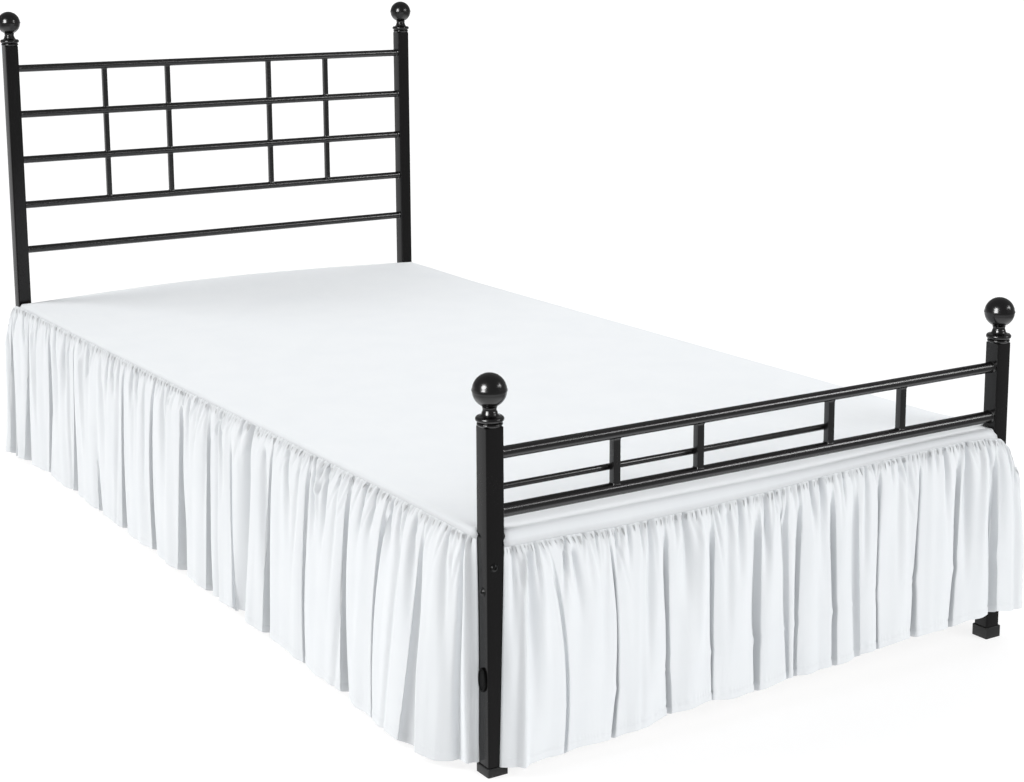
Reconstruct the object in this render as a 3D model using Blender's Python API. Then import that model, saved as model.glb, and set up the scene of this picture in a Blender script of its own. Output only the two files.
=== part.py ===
"""Twin bed skirt with gathered drops on three sides, hanging over a plain metal bed.

Metres, +Z up. X runs from the bed's left side to its right, Y from its foot to its head,
and Z = 0 is the floor under the foot caps. The origin is the middle of the floor it covers.
"""

import math

import bmesh
import bpy
import numpy as np

# The bed, measured between the centres of its posts.
POST_SPAN_X = 0.978
POST_SPAN_Y = 1.985
POST_SIDE = 0.0285
POST_EDGE = 0.0015
POST_FLOOR_GAP = 0.003
FOOT_POST_TOP = 0.503
HEAD_POST_TOP = 0.9275

CAP_SIDE = 0.033
CAP_HEIGHT = 0.019

# Rails and uprights of the two ends.
HEAD_RAIL_DIAMETER = 0.016
HEAD_RAIL_TOP_Z = 0.878
HEAD_RAIL_STEP = 0.1007
HEAD_RAIL_COUNT = 5
HEAD_UPRIGHT_SIDE = 0.0105
HEAD_UPRIGHT_X = (0.213, 0.364, 0.618, 0.768)
HEAD_UPRIGHT_LENGTHS = 3
FOOT_TOP_RAIL_DIAMETER = 0.0175
FOOT_TOP_RAIL_Z = 0.463
FOOT_LOW_RAIL_DIAMETER = 0.0195
FOOT_LOW_RAIL_Z = 0.380
FOOT_UPRIGHT_SIDE = 0.012
FOOT_UPRIGHT_X = (0.210, 0.361, 0.615, 0.765)
BACK_BAR_DIAMETER = 0.0094
BACK_BAR_Z = 0.411
RAIL_SIDES = 16
BACK_BAR_SIDES = 12

# Support under the skirt.
SLAT_COUNT = 9
SLAT_WIDTH = 0.060
SLAT_THICKNESS = 0.018
SLAT_FIRST_Y = 0.120
SLAT_STEP = 0.215
SLAT_INSET = 0.032
SIDE_RAIL_WIDTH = 0.042
SIDE_RAIL_HEIGHT = 0.045
SIDE_RAIL_INSET = 0.006
END_RAIL_WIDTH = 0.018
END_RAIL_HEIGHT = 0.030
END_RAIL_Z = 0.269
END_RAIL_SHIFT = 0.003

# Fasteners on the foot-left post.
BOLT_DIAMETER = 0.0085
BOLT_HEAD = 0.0022
FOOT_BOLT_Z = 0.305
FOOT_BOLT_SHIFT = -0.003
SIDE_BOLT_Z = 0.269
SIDE_BOLT_SHIFT = -0.001
LUG_HEIGHT = 0.030
LUG_WIDTH = 0.0186
LUG_THICKNESS = 0.0030
LUG_Z = 0.141
FASTENER_SIDES = 12
LUG_SIDES = 20

# Cloth.
SHEET = 0.002
TOUCH = 0.0003
SEAM_GAP = 0.0005
SEAM_OUT = 0.018
RIGHT_SEAM_Z = 0.332

# Deck panel: level over the slats, a little higher at its head edge and its foot-right corner.
DECK_TOP = 0.355
DECK_HEAD_Y = 1.955
EDGE_TURN = 0.034
RIGHT_TURN = 0.050
TURN_STEPS = (0.0, 0.003, 0.010, 0.020)
CORNER_CUT = 0.0175
SEAM_LIP = 0.0040
SEAM_LIP_LEAN = 0.0002
HEAD_RISE_SIDES = 0.004
HEAD_RISE_CROWN = 0.013
HEAD_RISE_FROM = 1.60
HEAD_RISE_RUN = 0.33
HEAD_RISE_STATIONS = (1.60, 1.71, 1.82, 1.93)
FOOT_RISE = 0.007
FOOT_RISE_FROM_X = 0.45
FOOT_RISE_RUN_X = 0.45
FOOT_RISE_REACH = 0.16
FOOT_RISE_STATION = 0.08

LEFT = -POST_SPAN_X / 2
RIGHT = POST_SPAN_X / 2
FOOT = -POST_SPAN_Y / 2
HEAD = POST_SPAN_Y / 2

# Ball finial, turned: radius and height above the top of its post.
FINIAL_PROFILE = (
    ("base", 0.0130, 0.0003),
    ("lower bead", 0.0172, 0.0015),
    ("lower bead", 0.0178, 0.0040),
    ("groove", 0.0165, 0.0062),
    ("upper bead", 0.0190, 0.0078),
    ("upper bead", 0.0198, 0.0105),
    ("upper bead", 0.0186, 0.0135),
    ("cove", 0.0140, 0.0165),
    ("cove", 0.0108, 0.0205),
    ("neck", 0.0100, 0.0235),
    ("collar", 0.0108, 0.0265),
)
BALL_RADIUS = 0.0243
BALL_CENTRE = 0.0505
BALL_FIRST_ANGLE = -64
BALL_STEPS = 8
FINIAL_STEPS = 18

# Seam lines: place along the edge from the foot-left post's centre, and the seam's height.
LEFT_SEAM = {
    "along": (0.00, 0.22, 0.55, 0.95, 1.45, 1.93, 1.98, 2.01, 2.03, 2.045),
    "height": (0.344, 0.347, 0.349, 0.349, 0.350, 0.352, 0.349, 0.334, 0.305, 0.272),
}
FOOT_SEAM = {
    "along": (0.00, 0.10, 0.20, 0.37, 0.48, 0.61, 0.75, 0.90, 0.95, 0.975, 0.995, 1.010),
    "height": (0.334, 0.333, 0.330, 0.332, 0.336, 0.343, 0.349, 0.352, 0.349, 0.343, 0.326,
               0.290),
}
RIGHT_SEAM = {
    "along": (0.00, 1.96, 2.00, 2.03),
    "height": (RIGHT_SEAM_Z, RIGHT_SEAM_Z, 0.326, 0.290),
}

# Hem lines: place along the edge, how far out from the post centres, and height over the floor.
LEFT_HEM = {
    "along": (0.00, 0.03, 0.06, 0.11, 0.17, 0.25, 0.36, 0.50,
              0.65, 0.90, 1.15, 1.40, 1.65, 1.80, 1.90, 2.02),
    "out": (0.030, 0.042, 0.060, 0.074, 0.070, 0.062, 0.059, 0.051,
            0.050, 0.043, 0.040, 0.036, 0.030, 0.030, 0.036, 0.048),
    "height": (0.013, 0.013, 0.012, 0.011, 0.010, 0.012, 0.013, 0.011,
               0.014, 0.012, 0.013, 0.014, 0.015, 0.016, 0.014, 0.012),
}
FOOT_HEM = {
    "along": (0.00, 0.10, 0.19, 0.28, 0.36, 0.45, 0.53, 0.61, 0.70, 0.78, 0.86, 0.96, 1.03),
    "out": (0.033, 0.036, 0.036, 0.036, 0.036, 0.035, 0.035, 0.036, 0.037, 0.036, 0.036, 0.036, 0.034),
    "height": (0.014, 0.018, 0.022, 0.030, 0.037, 0.031, 0.037, 0.040, 0.047, 0.052, 0.051,
               0.055, 0.050),
}
RIGHT_HEM = {
    "along": (0.00, 0.40, 0.90, 1.40, 2.02),
    "out": (0.036, 0.048, 0.044, 0.050, 0.042),
    "height": (0.014, 0.011, 0.013, 0.012, 0.014),
}

# Folds: where each valley runs at the seam, half way down and at the hem, how deep it is,
# half the width of its mouth at the hem, how full the cloth swells after it, and how far
# down the drop it starts.
FOLD_COLUMNS = ("seam", "middle", "hem", "deep", "mouth", "swell", "start")
LEFT_FOLDS = (
    (0.129, 0.160, 0.195, 0.016, 0.014, 0.004, 0.00),
    (0.251, 0.282, 0.285, 0.026, 0.009, 0.004, 0.00),
    (0.355, 0.382, 0.387, 0.032, 0.010, 0.004, 0.00),
    (0.503, 0.525, 0.530, 0.022, 0.006, 0.003, 0.00),
    (0.625, 0.651, 0.672, 0.032, 0.011, 0.005, 0.00),
    (0.803, 0.801, 0.805, 0.018, 0.007, 0.003, 0.05),
    (0.884, 0.899, 0.910, 0.034, 0.010, 0.004, 0.00),
    (1.013, 1.022, 1.033, 0.032, 0.011, 0.005, 0.02),
    (1.143, 1.166, 1.168, 0.032, 0.009, 0.004, 0.00),
    (1.290, 1.317, 1.322, 0.034, 0.010, 0.005, 0.00),
    (1.462, 1.460, 1.452, 0.022, 0.008, 0.002, 0.55),
    (1.568, 1.590, 1.597, 0.030, 0.009, 0.004, 0.00),
    (1.712, 1.735, 1.757, 0.028, 0.008, 0.004, 0.00),
    (1.835, 1.870, 1.885, 0.026, 0.009, 0.003, 0.00),
    (1.930, 1.945, 1.952, 0.020, 0.007, 0.003, 0.00),
)
FOOT_FOLDS = (
    (0.075, 0.097, 0.102, 0.013, 0.006, 0.004, 0.00),
    (0.173, 0.194, 0.189, 0.025, 0.007, 0.004, 0.00),
    (0.277, 0.284, 0.289, 0.024, 0.007, 0.004, 0.00),
    (0.362, 0.367, 0.370, 0.024, 0.006, 0.004, 0.00),
    (0.449, 0.452, 0.455, 0.025, 0.010, 0.003, 0.00),
    (0.500, 0.508, 0.514, 0.012, 0.006, 0.002, 0.00),
    (0.533, 0.531, 0.531, 0.024, 0.006, 0.004, 0.05),
    (0.596, 0.606, 0.610, 0.025, 0.010, 0.003, 0.00),
    (0.641, 0.649, 0.657, 0.017, 0.009, 0.003, 0.00),
    (0.696, 0.696, 0.701, 0.026, 0.007, 0.004, 0.00),
    (0.778, 0.781, 0.778, 0.026, 0.009, 0.004, 0.00),
    (0.865, 0.867, 0.862, 0.026, 0.009, 0.004, 0.00),
    (0.945, 0.956, 0.960, 0.015, 0.009, 0.004, 0.00),
)
RIGHT_FOLDS = (
    (0.110, 0.120, 0.128, 0.022, 0.008, 0.004, 0.00),
    (0.235, 0.228, 0.240, 0.028, 0.009, 0.005, 0.00),
    (0.340, 0.352, 0.350, 0.024, 0.008, 0.004, 0.00),
    (0.490, 0.484, 0.496, 0.030, 0.010, 0.005, 0.00),
    (0.600, 0.612, 0.606, 0.020, 0.007, 0.004, 0.10),
    (0.745, 0.750, 0.742, 0.030, 0.010, 0.005, 0.00),
    (0.870, 0.864, 0.878, 0.026, 0.009, 0.004, 0.00),
    (1.005, 1.012, 1.008, 0.030, 0.009, 0.005, 0.00),
    (1.120, 1.132, 1.140, 0.022, 0.008, 0.004, 0.05),
    (1.275, 1.268, 1.280, 0.030, 0.010, 0.005, 0.00),
    (1.400, 1.410, 1.404, 0.026, 0.008, 0.004, 0.00),
    (1.545, 1.540, 1.552, 0.030, 0.010, 0.005, 0.00),
    (1.670, 1.682, 1.676, 0.022, 0.008, 0.004, 0.00),
    (1.810, 1.804, 1.816, 0.028, 0.009, 0.005, 0.00),
    (1.915, 1.925, 1.920, 0.020, 0.008, 0.004, 0.00),
)

# The free ends of the drops: place along the edge at the seam and at the hem.
LEFT_ENDS = {"start": (0.003, -0.004), "end": (2.045, 2.005)}
FOOT_ENDS = {"start": (0.0075, 0.004), "end": (1.010, 1.029)}
RIGHT_ENDS = {"start": (0.003, -0.010), "end": (2.030, 2.005)}

# How a drop is sampled and how its folds grow: shares of the drop, of a valley's half width,
# and of the stretch between two valleys; then widths and depths in metres.
DROP_STEPS = (0.0, 0.05, 0.16, 0.36, 0.66, 1.0)
VALLEY_STEPS = (-1.0, -0.5, 0.0, 0.5, 1.0)
SWELL_STEPS = (0.25, 0.5, 0.75)
FOLD_GROWTH = 0.30
SWELL_GROWTH = 0.20
PUFF_GROWTH = 0.12
FLARE_POWER = 0.9
SEAM_MOUTH_SHARE = 0.35
SEAM_DEPTH_SHARE = 0.70
VALLEY_CURL = 0.45
LEAST_MOUTH = 0.0034
GATHER_PUFF = 0.005
FIRST_SWELL = 0.003


def clear_scene():
    """Empties the scene the script is run in."""
    for item in list(bpy.data.objects):
        bpy.data.objects.remove(item, do_unlink=True)


def make_material(name, colour, roughness, metallic=0.0):
    """A plain Principled material."""
    made = bpy.data.materials.new(name)
    made.use_nodes = True
    shader = made.node_tree.nodes["Principled BSDF"]
    shader.inputs["Base Color"].default_value = (*colour, 1.0)
    shader.inputs["Roughness"].default_value = roughness
    shader.inputs["Metallic"].default_value = metallic
    made.diffuse_color = (*colour, 1.0)
    return made


def add_object(name, form, material, bed, smooth=False):
    """Turns a bmesh into a named object that stands on the bed's own empty."""
    mesh = bpy.data.meshes.new(name)
    bmesh.ops.recalc_face_normals(form, faces=form.faces)
    form.to_mesh(mesh)
    form.free()
    mesh.materials.append(material)
    if smooth:
        mesh.shade_smooth()
        mesh.set_sharp_from_angle(angle=math.radians(35))
    made = bpy.data.objects.new(name, mesh)
    bpy.context.scene.collection.objects.link(made)
    made.parent = bed
    return made


def add_block(name, low, high, material, bed, edge=0.0):
    """A square-cornered bar between two corners, its edges eased if asked."""
    form = bmesh.new()
    bmesh.ops.create_cube(form, size=1.0)
    size = [b - a for a, b in zip(low, high)]
    bmesh.ops.scale(form, vec=size, verts=form.verts)
    middle = [(a + b) / 2 for a, b in zip(low, high)]
    made = add_object(name, form, material, bed)
    made.location = middle
    if edge:
        bevel = made.modifiers.new("eased edges", "BEVEL")
        bevel.width = edge
        bevel.segments = 2
    return made


def add_rod(name, start, length, axis, diameter, material, bed, sides=RAIL_SIDES):
    """A round rod that runs from a start point along X, Y or Z."""
    form = bmesh.new()
    bmesh.ops.create_cone(form, cap_ends=True, segments=sides, radius1=diameter / 2,
                          radius2=diameter / 2, depth=length)
    made = add_object(name, form, material, bed, smooth=True)
    turn = {"X": (0, math.pi / 2, 0), "Y": (-math.pi / 2, 0, 0), "Z": (0, 0, 0)}[axis]
    made.rotation_euler = turn
    made.location = [start[i] + (length / 2 if "XYZ"[i] == axis else 0) for i in range(3)]
    return made


def add_posts(metal, plastic, bed):
    """Four square posts, each stood in a square cap."""
    half = POST_SIDE / 2
    for end, y, top in (("foot", FOOT, FOOT_POST_TOP), ("head", HEAD, HEAD_POST_TOP)):
        for side, x in (("left", LEFT), ("right", RIGHT)):
            low = (x - half, y - half, POST_FLOOR_GAP + TOUCH)
            high = (x + half, y + half, top)
            add_block(f"post_{end}_{side}", low, high, metal, bed, POST_EDGE)
            add_cap(f"cap_{end}_{side}", x, y, plastic, bed)


def add_cap(name, x, y, plastic, bed):
    """A square cup under a post: a block whose top is inset and pushed down."""
    form = bmesh.new()
    bmesh.ops.create_cube(form, size=1.0)
    bmesh.ops.scale(form, vec=(CAP_SIDE, CAP_SIDE, CAP_HEIGHT), verts=form.verts)
    top = max(form.faces, key=lambda face: face.calc_center_median().z)
    wall = (CAP_SIDE - POST_SIDE) / 2 - TOUCH
    bmesh.ops.inset_region(form, faces=[top], thickness=wall, depth=0.0)
    mouth = max(form.faces, key=lambda face: (round(face.normal.z, 3), face.calc_area()))
    pushed = bmesh.ops.extrude_discrete_faces(form, faces=[mouth])["faces"]
    sink = CAP_HEIGHT - POST_FLOOR_GAP
    bmesh.ops.translate(form, vec=(0, 0, -sink), verts=pushed[0].verts)
    made = add_object(name, form, plastic, bed)
    made.location = (x, y, CAP_HEIGHT / 2)


def add_finials(metal, bed):
    """Four ball finials, each one turned profile."""
    outline = [(radius, height) for _, radius, height in FINIAL_PROFILE]
    for step in range(1, BALL_STEPS):
        angle = math.radians(BALL_FIRST_ANGLE + (90 - BALL_FIRST_ANGLE) * step / BALL_STEPS)
        outline.append((BALL_RADIUS * math.cos(angle), BALL_CENTRE + BALL_RADIUS * math.sin(angle)))
    tip = BALL_CENTRE + BALL_RADIUS
    for end, y, top in (("foot", FOOT, FOOT_POST_TOP), ("head", HEAD, HEAD_POST_TOP)):
        for side, x in (("left", LEFT), ("right", RIGHT)):
            form = bmesh.new()
            points = [(0.0, outline[0][1])] + outline + [(0.0, tip)]
            line = [form.verts.new((radius, 0.0, height)) for radius, height in points]
            edges = [form.edges.new(pair) for pair in zip(line, line[1:])]
            bmesh.ops.spin(form, geom=line + edges, cent=(0, 0, 0), axis=(0, 0, 1),
                           angle=math.tau, steps=FINIAL_STEPS, use_merge=True)
            bmesh.ops.remove_doubles(form, verts=form.verts, dist=1e-6)
            made = add_object(f"finial_{end}_{side}", form, metal, bed, smooth=True)
            made.location = (x, y, top)


def add_headboard(metal, bed):
    """Five round rails, and four uprights cut to lie between the upper four."""
    start = LEFT + POST_SIDE / 2 + TOUCH
    length = POST_SPAN_X - POST_SIDE - 2 * TOUCH
    heights = [HEAD_RAIL_TOP_Z - HEAD_RAIL_STEP * i for i in range(HEAD_RAIL_COUNT)]
    for number, height in enumerate(heights, 1):
        place = (start, HEAD, height)
        add_rod(f"head_rail_{number}", place, length, "X", HEAD_RAIL_DIAMETER, metal, bed)
    half = HEAD_UPRIGHT_SIDE / 2
    inside = HEAD_RAIL_DIAMETER / 2 + TOUCH
    for column, along in enumerate(HEAD_UPRIGHT_X, 1):
        x = LEFT + along
        for level in range(HEAD_UPRIGHT_LENGTHS):
            low = (x - half, HEAD - half, heights[level + 1] + inside)
            high = (x + half, HEAD + half, heights[level] - inside)
            add_block(f"head_upright_{column}_{level + 1}", low, high, metal, bed)


def add_footboard(metal, bed):
    """Two round rails with four short uprights, and a thin bar behind three of them."""
    start = LEFT + POST_SIDE / 2 + TOUCH
    length = POST_SPAN_X - POST_SIDE - 2 * TOUCH
    rails = (("foot_rail_top", FOOT_TOP_RAIL_Z, FOOT_TOP_RAIL_DIAMETER),
             ("foot_rail_low", FOOT_LOW_RAIL_Z, FOOT_LOW_RAIL_DIAMETER))
    for name, height, diameter in rails:
        add_rod(name, (start, FOOT, height), length, "X", diameter, metal, bed)
    half = FOOT_UPRIGHT_SIDE / 2
    bottom = FOOT_LOW_RAIL_Z + FOOT_LOW_RAIL_DIAMETER / 2 + TOUCH
    top = FOOT_TOP_RAIL_Z - FOOT_TOP_RAIL_DIAMETER / 2 - TOUCH
    for column, along in enumerate(FOOT_UPRIGHT_X, 1):
        x = LEFT + along
        low = (x - half, FOOT - half, bottom)
        high = (x + half, FOOT + half, top)
        add_block(f"foot_upright_{column}", low, high, metal, bed)
    bar_y = FOOT + half + TOUCH + BACK_BAR_DIAMETER / 2
    bar_length = LEFT + FOOT_UPRIGHT_X[2] + half - start
    place = (start, bar_y, BACK_BAR_Z)
    add_rod("foot_back_bar", place, bar_length, "X", BACK_BAR_DIAMETER, metal, bed, BACK_BAR_SIDES)


def add_support(metal, wood, bed):
    """Side rails and end rails between the posts, and slats across the side rails."""
    half = POST_SIDE / 2 + TOUCH
    slat_top = DECK_TOP - SHEET - TOUCH
    rail_top = slat_top - SLAT_THICKNESS - TOUCH
    for side, x, inward in (("left", LEFT, 1), ("right", RIGHT, -1)):
        outer = x + inward * SIDE_RAIL_INSET
        inner = outer + inward * SIDE_RAIL_WIDTH
        low = (min(outer, inner), FOOT + half, rail_top - SIDE_RAIL_HEIGHT)
        high = (max(outer, inner), HEAD - half, rail_top)
        add_block(f"side_rail_{side}", low, high, metal, bed)
    for end, y in (("foot", FOOT + END_RAIL_SHIFT), ("head", HEAD - END_RAIL_SHIFT)):
        low = (LEFT + half, y - END_RAIL_WIDTH / 2, END_RAIL_Z - END_RAIL_HEIGHT / 2)
        high = (RIGHT - half, y + END_RAIL_WIDTH / 2, END_RAIL_Z + END_RAIL_HEIGHT / 2)
        add_block(f"end_rail_{end}", low, high, metal, bed)
    for number in range(SLAT_COUNT):
        y = FOOT + SLAT_FIRST_Y + SLAT_STEP * number
        low = (LEFT + SLAT_INSET, y - SLAT_WIDTH / 2, slat_top - SLAT_THICKNESS)
        high = (RIGHT - SLAT_INSET, y + SLAT_WIDTH / 2, slat_top)
        add_block(f"slat_{number + 1}", low, high, wood, bed)


def add_fasteners(metal, bed):
    """Bolt heads on two faces of the foot-left post, and an oval lug below them."""
    face = POST_SIDE / 2 + TOUCH
    place = (LEFT + FOOT_BOLT_SHIFT, FOOT - face - BOLT_HEAD, FOOT_BOLT_Z)
    add_rod("bolt_foot_face", place, BOLT_HEAD, "Y", BOLT_DIAMETER, metal, bed, FASTENER_SIDES)
    place = (LEFT - face - BOLT_HEAD, FOOT + SIDE_BOLT_SHIFT, SIDE_BOLT_Z)
    add_rod("bolt_side_face", place, BOLT_HEAD, "X", BOLT_DIAMETER, metal, bed, FASTENER_SIDES)
    form = bmesh.new()
    bmesh.ops.create_cone(form, cap_ends=True, segments=LUG_SIDES, radius1=0.5, radius2=0.5, depth=1.0)
    bmesh.ops.scale(form, vec=(LUG_HEIGHT, LUG_WIDTH, LUG_THICKNESS), verts=form.verts)
    lug = add_object("lug_side_face", form, metal, bed, smooth=True)
    lug.rotation_euler = (0, math.pi / 2, 0)
    lug.location = (LEFT - face - LUG_THICKNESS / 2, FOOT + SIDE_BOLT_SHIFT, LUG_Z)


def ease(value):
    """A smooth step from 0 to 1."""
    value = min(max(value, 0.0), 1.0)
    return value * value * (3 - 2 * value)


def valley_path(fold, drop):
    """Where a valley runs at one level, on a smooth curve through its three stated places."""
    top = fold["seam"] * (1 - drop) * (1 - 2 * drop)
    middle = fold["middle"] * 4 * drop * (1 - drop)
    return top + middle + fold["hem"] * drop * (2 * drop - 1)


def level_of_drop(folds, seam, hem, ends, drop):
    """The cloth's line at one level: a list of (along, out, height)."""
    def crown(along):
        free = float(np.interp(along, hem["along"], hem["out"]))
        puff = GATHER_PUFF * ease(drop / PUFF_GROWTH) * (1 - drop)
        return SEAM_OUT + (free - SEAM_OUT) * drop ** FLARE_POWER + puff

    def height(along):
        top = float(np.interp(along, seam["along"], seam["height"]))
        bottom = float(np.interp(along, hem["along"], hem["height"]))
        return top + (bottom - top) * drop

    line = []

    def stretch(start, end, swell):
        for step in SWELL_STEPS:
            along = start + (end - start) * step
            full = swell * math.sin(math.pi * step) * ease(drop / SWELL_GROWTH)
            line.append((along, crown(along) + full, height(along)))

    def along_drop(at_seam, at_hem):
        return at_seam + (at_hem - at_seam) * drop

    first = along_drop(*ends["start"])
    last = along_drop(*ends["end"])
    edge, swell = first, FIRST_SWELL
    line.append((first, crown(first), height(first)))
    for row in folds:
        fold = dict(zip(FOLD_COLUMNS, row))
        grown = ease((drop - fold["start"]) / FOLD_GROWTH)
        mouth = max(fold["mouth"] * along_drop(SEAM_MOUTH_SHARE, 1.0), LEAST_MOUTH)
        deep = fold["deep"] * grown * along_drop(SEAM_DEPTH_SHARE, 1.0)
        centre = valley_path(fold, drop)
        stretch(edge, centre - mouth, swell)
        for step in VALLEY_STEPS:
            along = centre + mouth * (step + VALLEY_CURL * grown * math.sin(math.pi * step))
            sink = deep * (1 + math.cos(math.pi * step)) / 2
            line.append((along, crown(along) - sink, height(along)))
        edge, swell = centre + mouth, fold["swell"]
    stretch(edge, last, swell)
    line.append((last, crown(last), height(last)))
    return line


def add_ruffle(name, place, folds, seam, hem, ends, cloth, bed):
    """One gathered drop: a sheet through its levels, given the cloth's thickness."""
    form = bmesh.new()
    levels = []
    for drop in DROP_STEPS:
        line = level_of_drop(folds, seam, hem, ends, drop)
        levels.append([form.verts.new(place(*point)) for point in line])
    for upper, lower in zip(levels, levels[1:]):
        for i in range(len(upper) - 1):
            form.faces.new((upper[i], upper[i + 1], lower[i + 1], lower[i]))
    made = add_object(name, form, cloth, bed)
    thicken(made)


def thicken(sheet):
    """Gives a sheet its thickness, half on each side."""
    wall = sheet.modifiers.new("cloth", "SOLIDIFY")
    wall.thickness = SHEET
    wall.offset = 0.0
    wall.use_even_offset = True
    wall.use_quality_normals = True


def deck_height(x, y):
    """The deck panel's middle surface; x and y from the foot-left post's centre."""
    across = min(max(x / POST_SPAN_X, 0.0), 1.0)
    flat = DECK_TOP - SHEET / 2
    crowned = HEAD_RISE_SIDES + HEAD_RISE_CROWN * math.sin(math.pi * across)
    head_rise = crowned * ease((y - HEAD_RISE_FROM) / HEAD_RISE_RUN)
    to_right = ease((x - FOOT_RISE_FROM_X) / FOOT_RISE_RUN_X)
    foot_rise = FOOT_RISE * to_right * (1 - ease(y / FOOT_RISE_REACH))
    plateau = flat + head_rise + foot_rise
    falls = (
        (x + SEAM_OUT, EDGE_TURN, np.interp(y, LEFT_SEAM["along"], LEFT_SEAM["height"])),
        (y + SEAM_OUT, EDGE_TURN, np.interp(x, FOOT_SEAM["along"], FOOT_SEAM["height"])),
        (POST_SPAN_X + SEAM_OUT - x, RIGHT_TURN, RIGHT_SEAM_Z),
    )
    heights = []
    for inward, turn, seam_z in falls:
        way = min(max(inward / turn, 0.0), 1.0)
        bend = math.sqrt(1 - (1 - way) ** 2)
        edge_z = float(seam_z) + SEAM_GAP
        heights.append(edge_z + (plateau - edge_z) * bend)
    return min(heights)


def add_deck(cloth, bed):
    """The flat panel: level over the slats, turned down to the seams at three edges."""
    turn = TURN_STEPS + (SEAM_OUT + CORNER_CUT,)
    across = [-SEAM_OUT + step for step in turn]
    across += [x for x in FOOT_SEAM["along"] if CORNER_CUT < x < POST_SPAN_X - CORNER_CUT]
    across += [POST_SPAN_X + SEAM_OUT - step for step in reversed(turn)]
    along = [-SEAM_OUT + step for step in turn] + [FOOT_RISE_STATION]
    along += [y for y in LEFT_SEAM["along"] if FOOT_RISE_STATION < y < HEAD_RISE_FROM]
    along += [*HEAD_RISE_STATIONS, DECK_HEAD_Y]
    form = bmesh.new()
    corners = {}
    for x in across:
        for y in along:
            corners[x, y] = form.verts.new((LEFT + x, FOOT + y, deck_height(x, y)))
    for x0, x1 in zip(across, across[1:]):
        for y0, y1 in zip(along, along[1:]):
            beside_post = CORNER_CUT + TOUCH
            at_post = y1 < beside_post and (x1 < beside_post or x0 > POST_SPAN_X - beside_post)
            if not at_post:
                form.faces.new((corners[x0, y0], corners[x1, y0], corners[x1, y1], corners[x0, y1]))
    bmesh.ops.delete(form, geom=[vert for vert in form.verts if not vert.link_faces], context="VERTS")
    add_seam_lips(form)
    made = add_object("deck_panel", form, cloth, bed)
    thicken(made)


def add_seam_lips(form):
    """Turns the last strip of the seam edges straight down, so it meets the drops squarely."""
    left, right, foot = LEFT - SEAM_OUT, RIGHT + SEAM_OUT, FOOT - SEAM_OUT
    for vert in form.verts:
        if left < vert.co.x < left + SEAM_LIP:
            vert.co.x = left + SEAM_LIP_LEAN
        if right - SEAM_LIP < vert.co.x < right:
            vert.co.x = right - SEAM_LIP_LEAN
        if foot < vert.co.y < foot + SEAM_LIP:
            vert.co.y = foot + SEAM_LIP_LEAN


def stand_on_origin(bed):
    """Moves the bed's empty so that the middle of the covered floor is the origin."""
    bpy.context.view_layer.update()
    shapes = bpy.context.evaluated_depsgraph_get()
    corners = []
    for item in bed.children:
        solid = item.evaluated_get(shapes)
        corners += [solid.matrix_world @ vert.co for vert in solid.data.vertices]
    for axis in (0, 1):
        values = [corner[axis] for corner in corners]
        bed.location[axis] = -(min(values) + max(values)) / 2


def main():
    clear_scene()
    bed = bpy.data.objects.new("bed_skirt_on_bed", None)
    bpy.context.scene.collection.objects.link(bed)
    metal = make_material("black coated steel", (0.012, 0.012, 0.013), 0.34)
    plastic = make_material("black plastic cap", (0.016, 0.016, 0.016), 0.5)
    wood = make_material("slat wood", (0.62, 0.47, 0.30), 0.6)
    cloth = make_material("white brushed cloth", (0.86, 0.87, 0.89), 0.85)
    add_posts(metal, plastic, bed)
    add_finials(metal, bed)
    add_headboard(metal, bed)
    add_footboard(metal, bed)
    add_support(metal, wood, bed)
    add_fasteners(metal, bed)
    add_deck(cloth, bed)
    add_ruffle("ruffle_left", lambda along, out, z: (LEFT - out, FOOT + along, z),
               LEFT_FOLDS, LEFT_SEAM, LEFT_HEM, LEFT_ENDS, cloth, bed)
    add_ruffle("ruffle_foot", lambda along, out, z: (LEFT + along, FOOT - out, z),
               FOOT_FOLDS, FOOT_SEAM, FOOT_HEM, FOOT_ENDS, cloth, bed)
    add_ruffle("ruffle_right", lambda along, out, z: (RIGHT + out, FOOT + along, z),
               RIGHT_FOLDS, RIGHT_SEAM, RIGHT_HEM, RIGHT_ENDS, cloth, bed)
    stand_on_origin(bed)


main()
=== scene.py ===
"""Bed skirt on its metal bed: the finished pieces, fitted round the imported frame."""

import math

import bpy
import numpy as np
from mathutils import Matrix, Vector


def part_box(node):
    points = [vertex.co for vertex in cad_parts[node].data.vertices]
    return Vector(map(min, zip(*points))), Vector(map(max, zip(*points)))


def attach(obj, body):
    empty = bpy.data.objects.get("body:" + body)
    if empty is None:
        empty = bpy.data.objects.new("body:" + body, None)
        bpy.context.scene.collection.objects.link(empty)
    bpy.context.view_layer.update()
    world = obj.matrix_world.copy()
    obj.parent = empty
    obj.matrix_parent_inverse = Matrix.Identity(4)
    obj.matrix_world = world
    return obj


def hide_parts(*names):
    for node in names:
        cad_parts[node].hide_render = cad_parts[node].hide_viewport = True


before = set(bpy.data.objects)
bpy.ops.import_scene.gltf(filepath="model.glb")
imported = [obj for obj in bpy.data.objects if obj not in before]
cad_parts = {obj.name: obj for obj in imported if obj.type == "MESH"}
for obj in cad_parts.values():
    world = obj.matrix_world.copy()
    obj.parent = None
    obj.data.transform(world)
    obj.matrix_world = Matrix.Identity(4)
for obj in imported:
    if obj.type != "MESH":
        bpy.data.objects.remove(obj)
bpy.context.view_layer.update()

# Posts: four square steel tubes with soft folded corners, powder coated gloss black.
# The foot pair is short and the head pair tall. Rails are welded between them, and
# each stands in a plastic cap.
POSTS = ("post_foot_left", "post_foot_right", "post_head_left", "post_head_right")
POST_CORNER = 0.0026
POST_RIM = 0.0008
COAT_BLACK = (0.0034, 0.0030, 0.0031, 1.0)
COAT_DUST = (0.0062, 0.0060, 0.0060, 1.0)
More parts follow.
